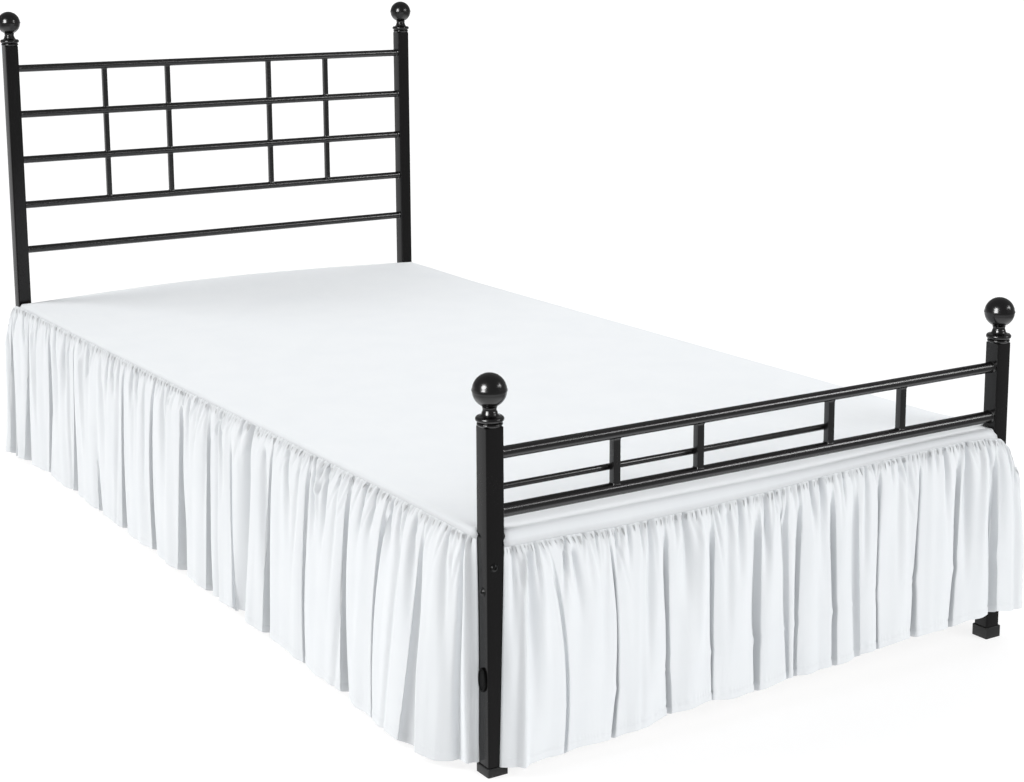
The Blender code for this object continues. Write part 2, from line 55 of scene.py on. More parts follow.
PEEL_HEIGHT = 0.00006


class Shade:
    """A socket of a material's nodes. Arithmetic on it adds Math nodes."""

    def __init__(self, tree, socket=None):
        self.tree = tree
        self.socket = socket

    def add(self, kind, settings, inputs, output=0):
        """Adds a node: its settings first, then the values or links of its sockets."""
        node = self.tree.nodes.new("ShaderNode" + kind)
        for name, value in settings.items():
            setattr(node, name, value)
        for key, value in inputs.items():
            if isinstance(value, Shade):
                self.tree.links.new(value.socket, node.inputs[key])
            else:
                node.inputs[key].default_value = value
        return Shade(self.tree, node.outputs[output])

    def maths(self, operation, *values):
        return self.add("Math", {"operation": operation}, dict(enumerate(values)))

    def __add__(self, other):
        return self.maths("ADD", self, other)

    def __sub__(self, other):
        return self.maths("SUBTRACT", self, other)

    def __rsub__(self, other):
        return self.maths("SUBTRACT", other, self)

    def __mul__(self, other):
        return self.maths("MULTIPLY", self, other)

    __radd__ = __add__
    __rmul__ = __mul__

    def clear_between(self, low, high):
        """0 below low, 1 above high, and a soft step in between."""
        settings = {"interpolation_type": "SMOOTHSTEP"}
        return self.add("MapRange", settings, {0: self, 1: low, 2: high})

    def mix(self, first, second):
        """Blends two colours, with this socket as the share of the second."""
        settings = {"data_type": "RGBA"}
        return self.add("Mix", settings, {0: self, 6: first, 7: second}, output=2)

    def object_place(self):
        """The place on the object, in metres."""
        return self.add("TexCoord", {}, {}, output=3)

    def part(self, axis):
        """X, Y or Z of a place or a way."""
        return self.add("SeparateXYZ", {}, {"Vector": self}, output=axis)

    def stretched(self, *scale):
        """A place scaled by X, Y and Z, for patterns that are drawn out one way."""
        return self.add("Mapping", {}, {"Vector": self, "Scale": scale})

    def noise(self, scale, detail=2.0, **more):
        """Noise at a place, 0 to 1."""
        return self.add("TexNoise", {}, {"Vector": self, "Scale": scale, "Detail": detail, **more})

    def relief(self, strength, distance, **more):
        """This height, raised by up to `distance` metres, as a normal."""
        heights = {"Height": self, "Strength": strength, "Distance": distance, **more}
        return self.add("Bump", {}, heights)


def new_material(name, roughness, **constants):
    """A Principled material and a Shade to build on. The constants sit on its own sockets."""
    material = bpy.data.materials.new(name)
    material.use_nodes = True
    shader = material.node_tree.nodes["Principled BSDF"]
    shader.inputs["Roughness"].default_value = roughness
    for socket, value in constants.items():
        shader.inputs[socket.replace("_", " ")].default_value = value
    return material, shader, Shade(material.node_tree)


def feed(shader, socket, value):
    """Links a worked-out value to one of the shader's own sockets."""
    value.tree.links.new(value.socket, shader.inputs[socket])


def powder_coat(name, grain=1.0, gloss=0.17, shine=0.36, black=COAT_BLACK):
    """Gloss black powder coat: a fine orange peel, uneven gloss and a trace of dust."""
    material, shader, start = new_material(name, 0.24, Specular_IOR_Level=shine)
    spot = start.object_place()
    peel = spot.noise(620.0)
    cloud = spot.noise(9.0, 5.0)
    fleck = spot.noise(240.0, 4.0)
    dusty = cloud.clear_between(0.50, 0.78) * fleck.clear_between(0.50, 0.72)
    feed(shader, "Base Color", dusty.mix(black, COAT_DUST))
    feed(shader, "Roughness", cloud * 0.10 + dusty * 0.14 + gloss)
    feed(shader, "Normal", peel.relief(0.35, PEEL_HEIGHT * grain))
    return material


POST_COAT = powder_coat("black powder coat")


def nothing_selected():
    if bpy.context.object and bpy.context.object.mode != "OBJECT":
        bpy.ops.object.mode_set(mode="OBJECT")
    bpy.ops.object.select_all(action="DESELECT")


def settle(name):
    """Names the new primitive, and puts its place, turn and size in its mesh."""
    piece = bpy.context.object
    piece.name = piece.data.name = name
    bpy.ops.object.transform_apply(location=True, rotation=True, scale=True)
    return piece


def begin_block(name, low, high):
    """A cube at its size and place, ready to shape."""
    nothing_selected()
    middle = (Vector(low) + Vector(high)) / 2
    bpy.ops.mesh.primitive_cube_add(size=1.0, location=middle, scale=Vector(high) - Vector(low))
    return settle(name)


def pick(piece, kind, wanted):
    """Edit mode with only the wanted faces or edges of a piece selected."""
    bpy.ops.object.mode_set(mode="EDIT")
    bpy.ops.mesh.select_mode(type=kind)
    bpy.ops.mesh.select_all(action="DESELECT")
    bpy.ops.object.mode_set(mode="OBJECT")
    mesh = piece.data
    for item in mesh.polygons if kind == "FACE" else mesh.edges:
        item.select = wanted(mesh, item)
    bpy.ops.object.mode_set(mode="EDIT")


def runs_along(axis):
    """A test for edges that lie along X, Y or Z."""
    def is_along(mesh, edge):
        way = mesh.vertices[edge.vertices[0]].co - mesh.vertices[edge.vertices[1]].co
        way[axis] = 0
        return max(map(abs, way)) < 1e-5
    return is_along


def looks_along(axis, sides=(-1, 1), nearly=0.9):
    """A test for faces that look along X, Y or Z, to both sides or to one."""
    return lambda mesh, face: any(face.normal[axis] * side > nearly for side in sides)


def round_off(offset, segments):
    """Bevels the selected edges, or the edges of the selected faces."""
    bpy.ops.mesh.bevel(offset=offset, segments=segments, affect="EDGES")


def pull_out(axis, distance):
    """Extrudes the selected faces along X, Y or Z."""
    push = [0, 0, 0]
    push[axis] = distance
    bpy.ops.mesh.extrude_region_move(TRANSFORM_OT_translate={"value": push})


def show_only(piece):
    """Selects one piece and nothing else."""
    nothing_selected()
    piece.select_set(True)
    bpy.context.view_layer.objects.active = piece


def hang(piece, material, node):
    """Gives a shaded piece its material, and hangs it on the frame for its CAD node."""
    piece.data.materials.append(material)
    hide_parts(node)
    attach(piece, "root")


def finish_piece(piece, material, node, smooth_angle=30):
    """Shades a hard piece round up to an angle, and hangs it on the frame."""
    show_only(piece)
    bpy.ops.object.shade_smooth_by_angle(angle=math.radians(smooth_angle))
    hang(piece, material, node)


for node in POSTS:
    low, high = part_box(node)
    post = begin_block("tube_" + node, low, high)
    pick(post, "EDGE", runs_along(2))
    round_off(POST_CORNER, 5)
    pick(post, "FACE", looks_along(2, (1,)))
    for lift in (POST_RIM / 2, -POST_RIM / 2):
        bpy.ops.mesh.inset(thickness=POST_RIM)
        bpy.ops.transform.translate(value=(0, 0, lift))
    finish_piece(post, POST_COAT, node)


# Foot caps: moulded black plastic cups that the posts stand in. They are a little wider
# than the tube, with a rounded lip and a hollowed sole.
CAPS = (("cap_foot_left", 0.0125), ("cap_foot_right", 0.0190),
        ("cap_head_left", 0.0190), ("cap_head_right", 0.0190))
CAP_CORNER = 0.0022
CAP_LIP = 0.0011
CAP_SOLE_RIM = 0.0035
CAP_SOLE_HOLLOW = 0.0006
CAP_BLACK = (0.012, 0.012, 0.012, 1.0)
CAP_SCUFF = (0.045, 0.043, 0.041, 1.0)
CAP_GRAIN = 0.00008


def cap_plastic():
    """Matt moulded plastic with a fine spark-eroded grain, scuffed a little near the floor."""
    material, shader, start = new_material("black cap plastic", 0.5)
    spot = start.object_place()
    grain = spot.noise(2100.0)
    scuff = spot.noise(330.0, 6.0)
    worn = scuff.clear_between(0.52, 0.70) * (1 - spot.part(2).clear_between(0.001, 0.008))
    feed(shader, "Base Color", worn.mix(CAP_BLACK, CAP_SCUFF))
    feed(shader, "Roughness", 0.42 + grain * 0.12 + worn * 0.20)
    feed(shader, "Normal", grain.relief(0.5, CAP_GRAIN))
    return material


CAP_PLASTIC = cap_plastic()

for node, tall in CAPS:
    low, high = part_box(node)
    cap = begin_block("foot_" + node, low, (high.x, high.y, low.z + tall))
    pick(cap, "EDGE", runs_along(2))
    round_off(CAP_CORNER, 4)
    pick(cap, "FACE", looks_along(2, (1,)))
    round_off(CAP_LIP, 3)
    pick(cap, "FACE", looks_along(2, (-1,)))
    bpy.ops.mesh.inset(thickness=CAP_SOLE_RIM)
    pull_out(2, CAP_SOLE_HOLLOW)
    finish_piece(cap, CAP_PLASTIC, node)


# Headboard: five round steel tubes between the tall posts, and square bars that stand
# between the upper four. Each joint has a small weld fillet under the same black coat.
HEAD_RAILS = tuple(f"head_rail_{number}" for number in range(1, 6))
HEAD_UPRIGHTS = tuple(f"head_upright_{i}_{j}" for i in range(1, 5) for j in range(1, 4))
TUBE_SIDES = 40
# A weld fillet's steps: the length of each, and its width to the tube's.
WELD_STEPS = ((0.0022, 1.00), (0.0012, 1.045), (0.0008, 1.10), (0.0006, 1.17))
OPEN_END_EDGE = 0.0008
BAR_CORNER = 0.0011
BAR_INTO_RAIL = 0.0021
BAR_WELD_WIDTH = 1.16
RAIL_COAT = powder_coat("black powder coat on tube", grain=0.25, gloss=0.18, shine=0.70)


def begin_round(name, sides, radius, length, middle, axis=0):
    """A cylinder along X or Y at its size and place, ready to shape."""
    nothing_selected()
    turn = (math.pi / 2, 0, 0) if axis == 1 else (0, math.pi / 2, 0)
    bpy.ops.mesh.primitive_cylinder_add(vertices=sides, radius=radius, depth=length,
                                        location=middle, rotation=turn)
    return settle(name)


def step_out(axis, side, end, middle, steps):
    """Draws a round end out along X or Y in steps of their own length and width."""
    size = 1.0
    for length, width in steps:
        end += side * length
        pull_out(axis, side * length)
        centre = middle.copy()
        centre[axis] = end
        scale = [width / size] * 3
        scale[axis] = 1
        bpy.ops.transform.resize(value=scale, center_override=centre)
        size = width


def round_tube(name, node, welded=(True, True)):
    """A tube along X that fills its node's box, with a weld fillet at each welded end."""
    low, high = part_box(node)
    reach = sum(length for length, _ in WELD_STEPS)
    first = low.x + reach * welded[0]
    last = high.x - reach * welded[1]
    middle = (low + high) / 2
    middle.x = (first + last) / 2
    tube = begin_round(name, TUBE_SIDES, (high.z - low.z) / 2, last - first, middle)
    for side, end, is_welded in ((-1, first, welded[0]), (1, last, welded[1])):
        pick(tube, "FACE", looks_along(0, (side,)))
        if is_welded:
            step_out(0, side, end, middle, WELD_STEPS)
        else:
            round_off(OPEN_END_EDGE, 2)
    return tube


def square_bar(name, node, into):
    """An upright bar that reaches into the rails above and below it and widens to its welds."""
    low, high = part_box(node)
    reach = Vector((0, 0, into))
    bar = begin_block(name, low - reach, high + reach)
    pick(bar, "EDGE", runs_along(2))
    round_off(BAR_CORNER, 3)
    for side in (-1, 1):
        pick(bar, "FACE", looks_along(2, (side,)))
        end = high.z + into if side > 0 else low.z - into
        centre = ((low.x + high.x) / 2, (low.y + high.y) / 2, end)
        bpy.ops.transform.translate(value=(0, 0, -side * 2 * into))
        pull_out(2, side * into)
        pull_out(2, side * into)
        bpy.ops.transform.resize(value=(BAR_WELD_WIDTH, BAR_WELD_WIDTH, 1), center_override=centre)
    return bar


for node in HEAD_RAILS:
    finish_piece(round_tube("tube_" + node, node), RAIL_COAT, node)
for node in HEAD_UPRIGHTS:
    finish_piece(square_bar("bar_" + node, node, BAR_INTO_RAIL), RAIL_COAT, node)


# Footboard: two round tubes with four short square bars between them, and a thin rod
# welded to the backs of three bars. It is the lowest thing that shows over the cloth.
FOOT_UPRIGHTS = tuple(f"foot_upright_{number}" for number in range(1, 5))
FOOT_BAR_INTO_RAIL = 0.0023

for node in ("foot_rail_top", "foot_rail_low"):
    finish_piece(round_tube("tube_" + node, node), RAIL_COAT, node)
for node in FOOT_UPRIGHTS:
    bar = square_bar("bar_" + node, node, FOOT_BAR_INTO_RAIL)
    finish_piece(bar, RAIL_COAT, node)
rod = round_tube("rod_foot_back_bar", "foot_back_bar", welded=(True, False))
finish_piece(rod, RAIL_COAT, "foot_back_bar")


# Finials: hollow balls pressed from two steel halves, with the rolled seam round the
# middle, on a turned neck and beads. Each screws into the top of its post.
FINIALS = ("finial_foot_left", "finial_foot_right", "finial_head_left", "finial_head_right")
FINIAL_SIDES = 56
BALL_RADIUS = 0.0243
BALL_LIP = 0.0012
BALL_LIP_HALF = 0.0011
NECK_RADIUS = 0.0098
# Each stretch of the turned base: end radius, end height over the post, and outward bulge.
BASE_START = (0.0135, 0.0)
BASE_STRETCHES = (
    (0.0171, 0.0012, 0.0006),
    (0.0166, 0.0058, 0.0014),
    (0.0185, 0.0072, -0.0003),
    (0.0180, 0.0142, 0.0020),
    (0.0108, 0.0205, -0.0022),
    (NECK_RADIUS, 0.0240, -0.0003),
    (0.0106, 0.0270, -0.0002),
)
STRETCH_STEPS = 6
BALL_STEPS = 26
BALL_TOP_ANGLE = math.radians(88)


def everything(mesh, item):
    """A test that every face passes."""
    return True


def turned_outline(ball_middle):
    """Radius and height down the finial's side, from the post to the top of the ball."""
    outline = [BASE_START]
    for radius, height, bulge in BASE_STRETCHES:
        start_radius, start_height = outline[-1]
        across = Vector((height - start_height, start_radius - radius)).normalized()
        for step in range(1, STRETCH_STEPS + 1):
            share = step / STRETCH_STEPS
            out = bulge * 4 * share * (1 - share)
            outline.append((start_radius + (radius - start_radius) * share + across.x * out,
                            start_height + (height - start_height) * share + across.y * out))
    first_angle = math.asin((outline[-1][1] - ball_middle) / BALL_RADIUS)
    for step in range(1, BALL_STEPS + 1):
        angle = first_angle + (BALL_TOP_ANGLE - first_angle) * step / BALL_STEPS
        height = BALL_RADIUS * math.sin(angle)
        lip = BALL_LIP * max(0.0, 1 - (height / BALL_LIP_HALF) ** 2)
        outline.append((BALL_RADIUS * math.cos(angle) + lip, ball_middle + height))
    return outline


FINIAL_COAT = powder_coat("black powder coat on balls", grain=0.5, gloss=0.16, shine=0.55)

for node in FINIALS:
    low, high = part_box(node)
    axis = (low + high) / 2
    ball_middle = high.z - low.z - BALL_RADIUS
    outline = turned_outline(ball_middle)
    nothing_selected()
    bpy.ops.mesh.primitive_circle_add(vertices=FINIAL_SIDES, radius=outline[0][0],
                                      fill_type="NGON", location=(axis.x, axis.y, low.z))
    finial = settle("turned_" + node)
    pick(finial, "FACE", everything)
    for (radius, height), (next_radius, next_height) in zip(outline, outline[1:]):
        pull_out(2, next_height - height)
        scale = next_radius / radius
        bpy.ops.transform.resize(value=(scale, scale, 1),
                                 center_override=(axis.x, axis.y, low.z + next_height))
    bpy.ops.mesh.select_all(action="SELECT")
    bpy.ops.mesh.normals_make_consistent(inside=False)
    finish_piece(finial, FINIAL_COAT, node, smooth_angle=60)


# Fasteners on the near post: two domed screws with socket heads, and an oval lug whose
# eye takes a strap. All are steel, blackened like the tube.
SCREWS = (("bolt_foot_face", 1), ("bolt_side_face", 0))
SCREW_SIDES = 30
SCREW_RADIUS = 0.0066
# The head's steps, out from its flange: the length of each, and its width to the flange's.
SCREW_DOME = ((0.0003, 0.96), (0.0001, 0.74), (0.0006, 0.68), (0.0006, 0.52), (0.0003, 0.36))
SCREW_WALL = 0.0006
SCREW_SOCKET = 0.0012
LUG_SIDES = 44
LUG_HALF = 0.0178
LUG_EDGE = 0.0007
LUG_BORDER = 0.0022
LUG_EYE = 0.0012
LUG_EYE_WALL = 0.0010
LUG_BACK = 0.6
SCREW_STEEL = (0.005, 0.005, 0.005, 1.0)
SCREW_COAT = powder_coat("blackened screw steel", grain=1.5, gloss=0.08, shine=0.30, black=SCREW_STEEL)
LUG_COAT = powder_coat("dull black lug", grain=1.5, gloss=0.20, shine=0.05, black=SCREW_STEEL)

for node, axis in SCREWS:
    low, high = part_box(node)
    middle = (low + high) / 2
    flange = (high[axis] - low[axis]) - sum(length for length, _ in SCREW_DOME)
    place = middle.copy()
    place[axis] = high[axis] - flange / 2
    screw = begin_round("screw_" + node, SCREW_SIDES, SCREW_RADIUS, flange, place, axis)
    pick(screw, "FACE", looks_along(axis, (-1,)))
    step_out(axis, -1, high[axis] - flange, middle, SCREW_DOME)
    bpy.ops.mesh.inset(thickness=SCREW_WALL)
    pull_out(axis, SCREW_SOCKET)
    finish_piece(screw, SCREW_COAT, node)

low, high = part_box("lug_side_face")
middle = (low + high) / 2
lug = begin_round("plate_lug_side_face", LUG_SIDES, LUG_HALF, high.x - low.x, middle)
pick(lug, "FACE", everything)
oval = (high.y - low.y) / 2 / LUG_HALF
bpy.ops.transform.resize(value=(1, oval, 1), center_override=middle)
pick(lug, "FACE", looks_along(0, (-1,)))
round_off(LUG_EDGE, 3)
pick(lug, "FACE", looks_along(0, (-1,), nearly=0.99))
bpy.ops.mesh.inset(thickness=LUG_BORDER)
pull_out(0, LUG_EYE)
bpy.ops.mesh.inset(thickness=LUG_EYE_WALL)
pull_out(0, -LUG_EYE * LUG_BACK)
finish_piece(lug, LUG_COAT, "lug_side_face")


# Support: two steel side rails and two end rails, bolted between the posts. They carry
# the slats and the deck of the skirt, and nothing of them shows from the front.
SUPPORT_RAILS = ("side_rail_left", "side_rail_right", "end_rail_foot", "end_rail_head")
SUPPORT_CORNER = 0.0024
SUPPORT_WALL = 0.0018

for node in SUPPORT_RAILS:
    low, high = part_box(node)
    long_axis = 1 if node.startswith("side") else 0
    rail = begin_block("box_" + node, low, high)
    pick(rail, "EDGE", runs_along(long_axis))
    round_off(SUPPORT_CORNER, 4)
    pick(rail, "FACE", looks_along(long_axis))
    bpy.ops.mesh.inset(thickness=SUPPORT_WALL, use_individual=True)
    finish_piece(rail, POST_COAT, node)


# Slats: nine planed pine boards with eased edges, laid across the side rails.
# Their grain runs along the board, and a few have a knot.
SLATS = tuple(f"slat_{number}" for number in range(1, 10))
SLAT_EDGE = 0.0024
SLAT_END_EDGE = 0.0006
PINE_RELIEF = 0.0002
PINE_LIGHT = (0.66, 0.49, 0.30, 1.0)
PINE_DARK = (0.47, 0.30, 0.15, 1.0)
KNOT_BROWN = (0.20, 0.105, 0.045, 1.0)


def pine():
    """Planed pine: stretched growth rings along X, pores, and knots far apart."""
    material, shader, start = new_material("planed pine", 0.6)
    spot = start.object_place()
    drawn = spot.stretched(1.6, 26.0, 26.0)
    warp = drawn.noise(1.4, 3.0)
    rings = drawn.noise(5.0, 1.0, Distortion=0.8)
    pore = spot.stretched(60.0, 1500.0, 1500.0).noise(1.0)
    cell = start.add("TexVoronoi", {}, {"Vector": spot, "Scale": 3.1})
    knot = 1 - cell.clear_between(0.018, 0.040)
    band = start.maths("FRACT", rings * 7.0 + warp)
    shade = band.clear_between(0.15, 0.95) * 0.8 + pore * 0.2
    wood = shade.mix(PINE_LIGHT, PINE_DARK)
    feed(shader, "Base Color", knot.mix(wood, KNOT_BROWN))
    feed(shader, "Roughness", 0.52 + shade * 0.16)
    feed(shader, "Normal", (shade + pore).relief(0.4, PINE_RELIEF))
    return material


PINE = pine()

for node in SLATS:
    low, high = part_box(node)
    slat = begin_block("board_" + node, low, high)
    pick(slat, "EDGE", runs_along(0))
    round_off(SLAT_EDGE, 3)
    pick(slat, "FACE", looks_along(0))
    round_off(SLAT_END_EDGE, 2)
    finish_piece(slat, PINE, node)


# Deck panel: one flat cut of white brushed microfibre that lies over the slats. It turns
# down at three edges to the seams, and its seam allowance is pressed back under it.
LEFT, FOOT, _ = sum(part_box("post_foot_left"), Vector()) / 2
RIGHT, _, _ = sum(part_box("post_foot_right"), Vector()) / 2
SPAN_X = RIGHT - LEFT
CLOTH_THICKNESS = 0.0010
DECK_TOP = 0.3548
SEAM_OUT = 0.018
DECK_HEAD_Y = 1.955
EDGE_TURN = 0.012
LEFT_TURN = 0.008
TURN_POWER = 2.3
RIGHT_TURN = 0.018
CORNER_CUT = 0.0156
# Where the turned edge ends against a foot post: along the foot, and along the side.
POST_FACE = 0.0146
FRONT_LAP = 0.0115
SIDE_LAP = 0.0080
HEAD_RISE_SIDES = 0.004
HEAD_RISE_CROWN = 0.013
HEAD_RISE_FROM = 1.60
HEAD_RISE_RUN = 0.33
FOOT_RISE = 0.007
FOOT_RISE_FROM = 0.45
FOOT_RISE_RUN = 0.45
FOOT_RISE_DEEP = 0.16
UNDER_SEAM = 0.0004
ALLOWANCE = 0.0145
ALLOWANCE_STEP = 0.0002
ALLOWANCE_FADE = 0.0035
ALLOWANCE_START = 0.006
DECK_RIPPLE = 0.0005
FLAT_BY_SEAM = 0.01
RIPPLE_RUN = 0.06
# Shade painted along the deck's seam, and how far in it reaches.
SEAM_SHADE = 0.40
SEAM_SHADE_WIDTH = 0.0030
CLOTH_WHITE = (0.848, 0.872, 0.892, 1.0)
CLOTH_COOL = (0.816, 0.843, 0.868, 1.0)
# The grey that the painted shade in folds, creases and along the seam darkens the cloth towards.
CLOTH_PAINTED_SHADE = (0.400, 0.404, 0.412, 1.0)
WARP_TURNS = 7300.0
WEFT_TURNS = 6900.0
NAP_HEIGHT = 0.00010
CREASE_HEIGHT = 0.0016
PUCKER_HEIGHT = 0.0014


def metres(table):
    """A table of millimetres as metres; shares in it are in thousandths."""
    if isinstance(table, tuple):
        return tuple(metres(entry) for entry in table)
    return table / 1000


# Seam lines: place along the edge from the foot-left post, and the seam's height.
LEFT_SEAM = metres(((0, 220, 550, 950, 1450, 1930, 1980, 2005, 2031, 2050, 2066),
                    (344, 347, 349, 349, 350, 352, 350, 342, 311, 280, 251)))
FOOT_SEAM = metres(((0, 100, 200, 370, 480, 610, 750, 900, 950, 975, 995, 1010),
                    (334, 333, 330, 332, 336, 343, 349, 352, 349, 343, 326, 290)))
RIGHT_SEAM = metres(((0, 1960, 2000, 2030), (332, 332, 326, 290)))


def brushed_cloth(name, pucker=0):
    """White brushed microfibre: fine plain weave, nap, soft creases and puckers by the seam, with
    painted shade in its folds.

    The cloth's own UV map is in metres: U along the piece, V down from its seam. `pucker`
    is how closely the puckers stand, and none leaves the cloth flat.
    """
    material, shader, start = new_material(
        name, 0.86, Sheen_Weight=0.22, Sheen_Roughness=0.55, Specular_IOR_Level=0.22)
    place = start.add("UVMap", {"uv_map": "cloth"}, {})
    along, down = place.part(0), place.part(1)
    weave = start.maths("SINE", along * WARP_TURNS) * start.maths("SINE", down * WEFT_TURNS)
    nap = place.noise(900.0, 3.0)
    crease = place.stretched(46.0, 9.0, 1.0).noise(1.0, 4.0, Distortion=0.6)
    tone = place.noise(11.0, 3.0).clear_between(0.30, 0.75) * 0.55 + nap * 0.25
    # Painted shade: darker where the folds, gathers, soft troughs and the deck's seam lie, read from
    # the mesh.
    fold = start.add("Attribute", {"attribute_name": "painted_fold_shade"}, {}, output=2)
    normal = (weave * 0.30 + nap).relief(0.5, NAP_HEIGHT)
    normal = crease.relief(0.5, CREASE_HEIGHT, Normal=normal)
    if pucker:
        ripple = place.stretched(110.0, 9.0, 1.0).noise(1.0, 1.0)
        line = start.maths("SINE", along * pucker + ripple * 6.5).clear_between(0.55, 1.00)
        tick = line * (1 - (down * 85.0 - ripple * 1.8).clear_between(-0.30, 0.25))
        tick = tick * down.clear_between(0.0022, 0.0045)
        puff = (1 - down.clear_between(0.004, 0.030)) * ripple
        # Painted shade in the pucker creases: each tick darkens the colour as well as the bump.
        fold = start.maths("MAXIMUM", fold, tick * 0.70)
        normal = (puff - tick).relief(1.0, PUCKER_HEIGHT, Normal=normal)
    feed(shader, "Base Color", fold.mix(tone.mix(CLOTH_WHITE, CLOTH_COOL), CLOTH_PAINTED_SHADE))
    feed(shader, "Roughness", 0.80 + nap * 0.12)
    feed(shader, "Normal", normal)
    return material


def soft_step(value):
    """0 below 0, 1 above 1, smooth between; for numbers or arrays."""
    value = np.clip(value, 0.0, 1.0)
    return value * value * (3 - 2 * value)


def put_in_scene(name, data):
    """A new object that holds the data, linked to the scene."""
    piece = bpy.data.objects.new(name, data)
    bpy.context.scene.collection.objects.link(piece)
    return piece


def cloth_piece(name, points, cloth_places, painted_fold_shade, holes=None):
    """A grid of points as a thin sheet: its faces, its UV map in metres and its thickness.

    The shade painted on each point, darker in folds, gathers and by the seam, is kept as an attribute
    for the cloth's colour.
    """
    rows, columns = points.shape[:2]
    corner = np.arange(rows * columns).reshape(rows, columns)
    faces = np.stack([corner[:-1, :-1], corner[1:, :-1], corner[1:, 1:], corner[:-1, 1:]], axis=-1)
    if holes is not None:
        faces = faces[~holes]
    faces = faces.reshape(-1, 4)
    used = np.unique(faces)
    renumber = np.zeros(rows * columns, dtype=int)
    renumber[used] = np.arange(len(used))
    mesh = bpy.data.meshes.new(name)
    mesh.from_pydata(points.reshape(-1, 3)[used].tolist(), [], renumber[faces].tolist())
    shade = mesh.attributes.new("painted_fold_shade", "FLOAT", "POINT")
    shade.data.foreach_set("value", painted_fold_shade.ravel()[used].astype(np.float32))
    uv = mesh.uv_layers.new(name="cloth")
    uv.data.foreach_set("uv", cloth_places.reshape(-1, 2)[faces.ravel()].astype(np.float32).ravel())
    piece = put_in_scene(name, mesh)
    show_only(piece)
    wall = piece.modifiers.new("cloth", "SOLIDIFY")
    wall.thickness = CLOTH_THICKNESS
    wall.offset = 0.0
    wall.use_quality_normals = True
    bpy.ops.object.modifier_apply(modifier=wall.name)
    return piece


def finish_cloth(piece, material, node):
    """Shades a sheet smooth all over, and hangs it on the frame."""
    show_only(piece)
    bpy.ops.object.shade_smooth()
    hang(piece, material, node)


def deck_surface(x, y):
    """Height of the deck's cloth at places measured from the foot-left post."""
    across = np.clip(x / SPAN_X, 0, 1)
    crowned = HEAD_RISE_SIDES + HEAD_RISE_CROWN * np.sin(math.pi * across)
    head_rise = crowned * soft_step((y - HEAD_RISE_FROM) / HEAD_RISE_RUN)
    foot_rise = FOOT_RISE * soft_step((x - FOOT_RISE_FROM) / FOOT_RISE_RUN)
    foot_rise = foot_rise * (1 - soft_step(y / FOOT_RISE_DEEP))
    level = DECK_TOP - CLOTH_THICKNESS / 2 + head_rise + foot_rise
    edges = (
        (x + SEAM_OUT, LEFT_TURN, np.interp(y, *LEFT_SEAM)),
        (y + SEAM_OUT, EDGE_TURN, np.interp(x, *FOOT_SEAM)),
        (SPAN_X + SEAM_OUT - x, RIGHT_TURN, np.full_like(x, RIGHT_SEAM[1][0])),
    )
    height = np.full_like(x, np.inf)
    for inward, turn, seam_z in edges:
        bend = 1 - (1 - np.clip(inward / turn, 0, 1)) ** TURN_POWER
        edge_z = seam_z - UNDER_SEAM
        height = np.minimum(height, edge_z + (level - edge_z) * bend)
        pressed = 1 - soft_step((inward - ALLOWANCE) / ALLOWANCE_FADE)
        height = height + ALLOWANCE_STEP * pressed * soft_step(inward / ALLOWANCE_START)
    ripple = (np.sin(5.1 * x + 2.3 * y + 0.6) * np.sin(3.7 * y - 1.9 * x)
              + 0.6 * np.sin(11.3 * x - 4.1 * y + 1.2) * np.sin(6.9 * y + 2.2))
    inner = np.minimum.reduce([edge[0] for edge in edges])
    return height + DECK_RIPPLE * ripple * soft_step((inner - FLAT_BY_SEAM) / RIPPLE_RUN)


TURN_STEPS = np.array([0.0, 0.0012, 0.0026, 0.0045, 0.007, 0.010, 0.0125, 0.0145, 0.0155, 0.0167,
                       0.020, 0.025, 0.030, SEAM_OUT + CORNER_CUT])
DECK_COLUMNS = 92
DECK_ROWS = 190
across = np.concatenate([TURN_STEPS - SEAM_OUT,
                         np.linspace(CORNER_CUT, SPAN_X - CORNER_CUT, DECK_COLUMNS)[1:-1],
                         SPAN_X + SEAM_OUT - TURN_STEPS[::-1]])
upward = np.concatenate([TURN_STEPS - SEAM_OUT, np.linspace(CORNER_CUT, DECK_HEAD_Y, DECK_ROWS)[1:]])
y_grid, x_grid = np.meshgrid(upward, across, indexing="ij")
in_front = y_grid < -POST_FACE
beside = (x_grid < -POST_FACE) | (x_grid > SPAN_X + POST_FACE)
x_grid[in_front & np.isclose(x_grid, CORNER_CUT)] -= CORNER_CUT - FRONT_LAP
x_grid[in_front & np.isclose(x_grid, SPAN_X - CORNER_CUT)] += CORNER_CUT - FRONT_LAP
y_grid[beside & np.isclose(y_grid, CORNER_CUT)] -= CORNER_CUT - SIDE_LAP
deck_points = np.stack([LEFT + x_grid, FOOT + y_grid, deck_surface(x_grid, y_grid)], axis=-1)
mid_x = (x_grid[:-1, :-1] + x_grid[1:, 1:]) / 2
mid_y = (y_grid[:-1, :-1] + y_grid[1:, 1:]) / 2
at_post = (mid_y < CORNER_CUT) & ((mid_x < CORNER_CUT) | (mid_x > SPAN_X - CORNER_CUT))
deck_places = np.stack([x_grid, y_grid], axis=-1)
# Painted shade: the deck is darkened along its seam, where it turns under.
inner = np.minimum(np.minimum(x_grid, y_grid), SPAN_X - x_grid) + SEAM_OUT
seam_shade = SEAM_SHADE * (1 - soft_step(inner / SEAM_SHADE_WIDTH))
deck = cloth_piece("cloth_deck_panel", deck_points[:, ::-1], deck_places[:, ::-1],
                   seam_shade[:, ::-1], at_post[:, ::-1])
finish_cloth(deck, brushed_cloth("white microfibre deck"), "deck_panel")


# Drops: three long cuts of the same microfibre, gathered to the deck's seams and left open
# at the corners. Each falls to just over the floor and ends in a narrow stitched hem.

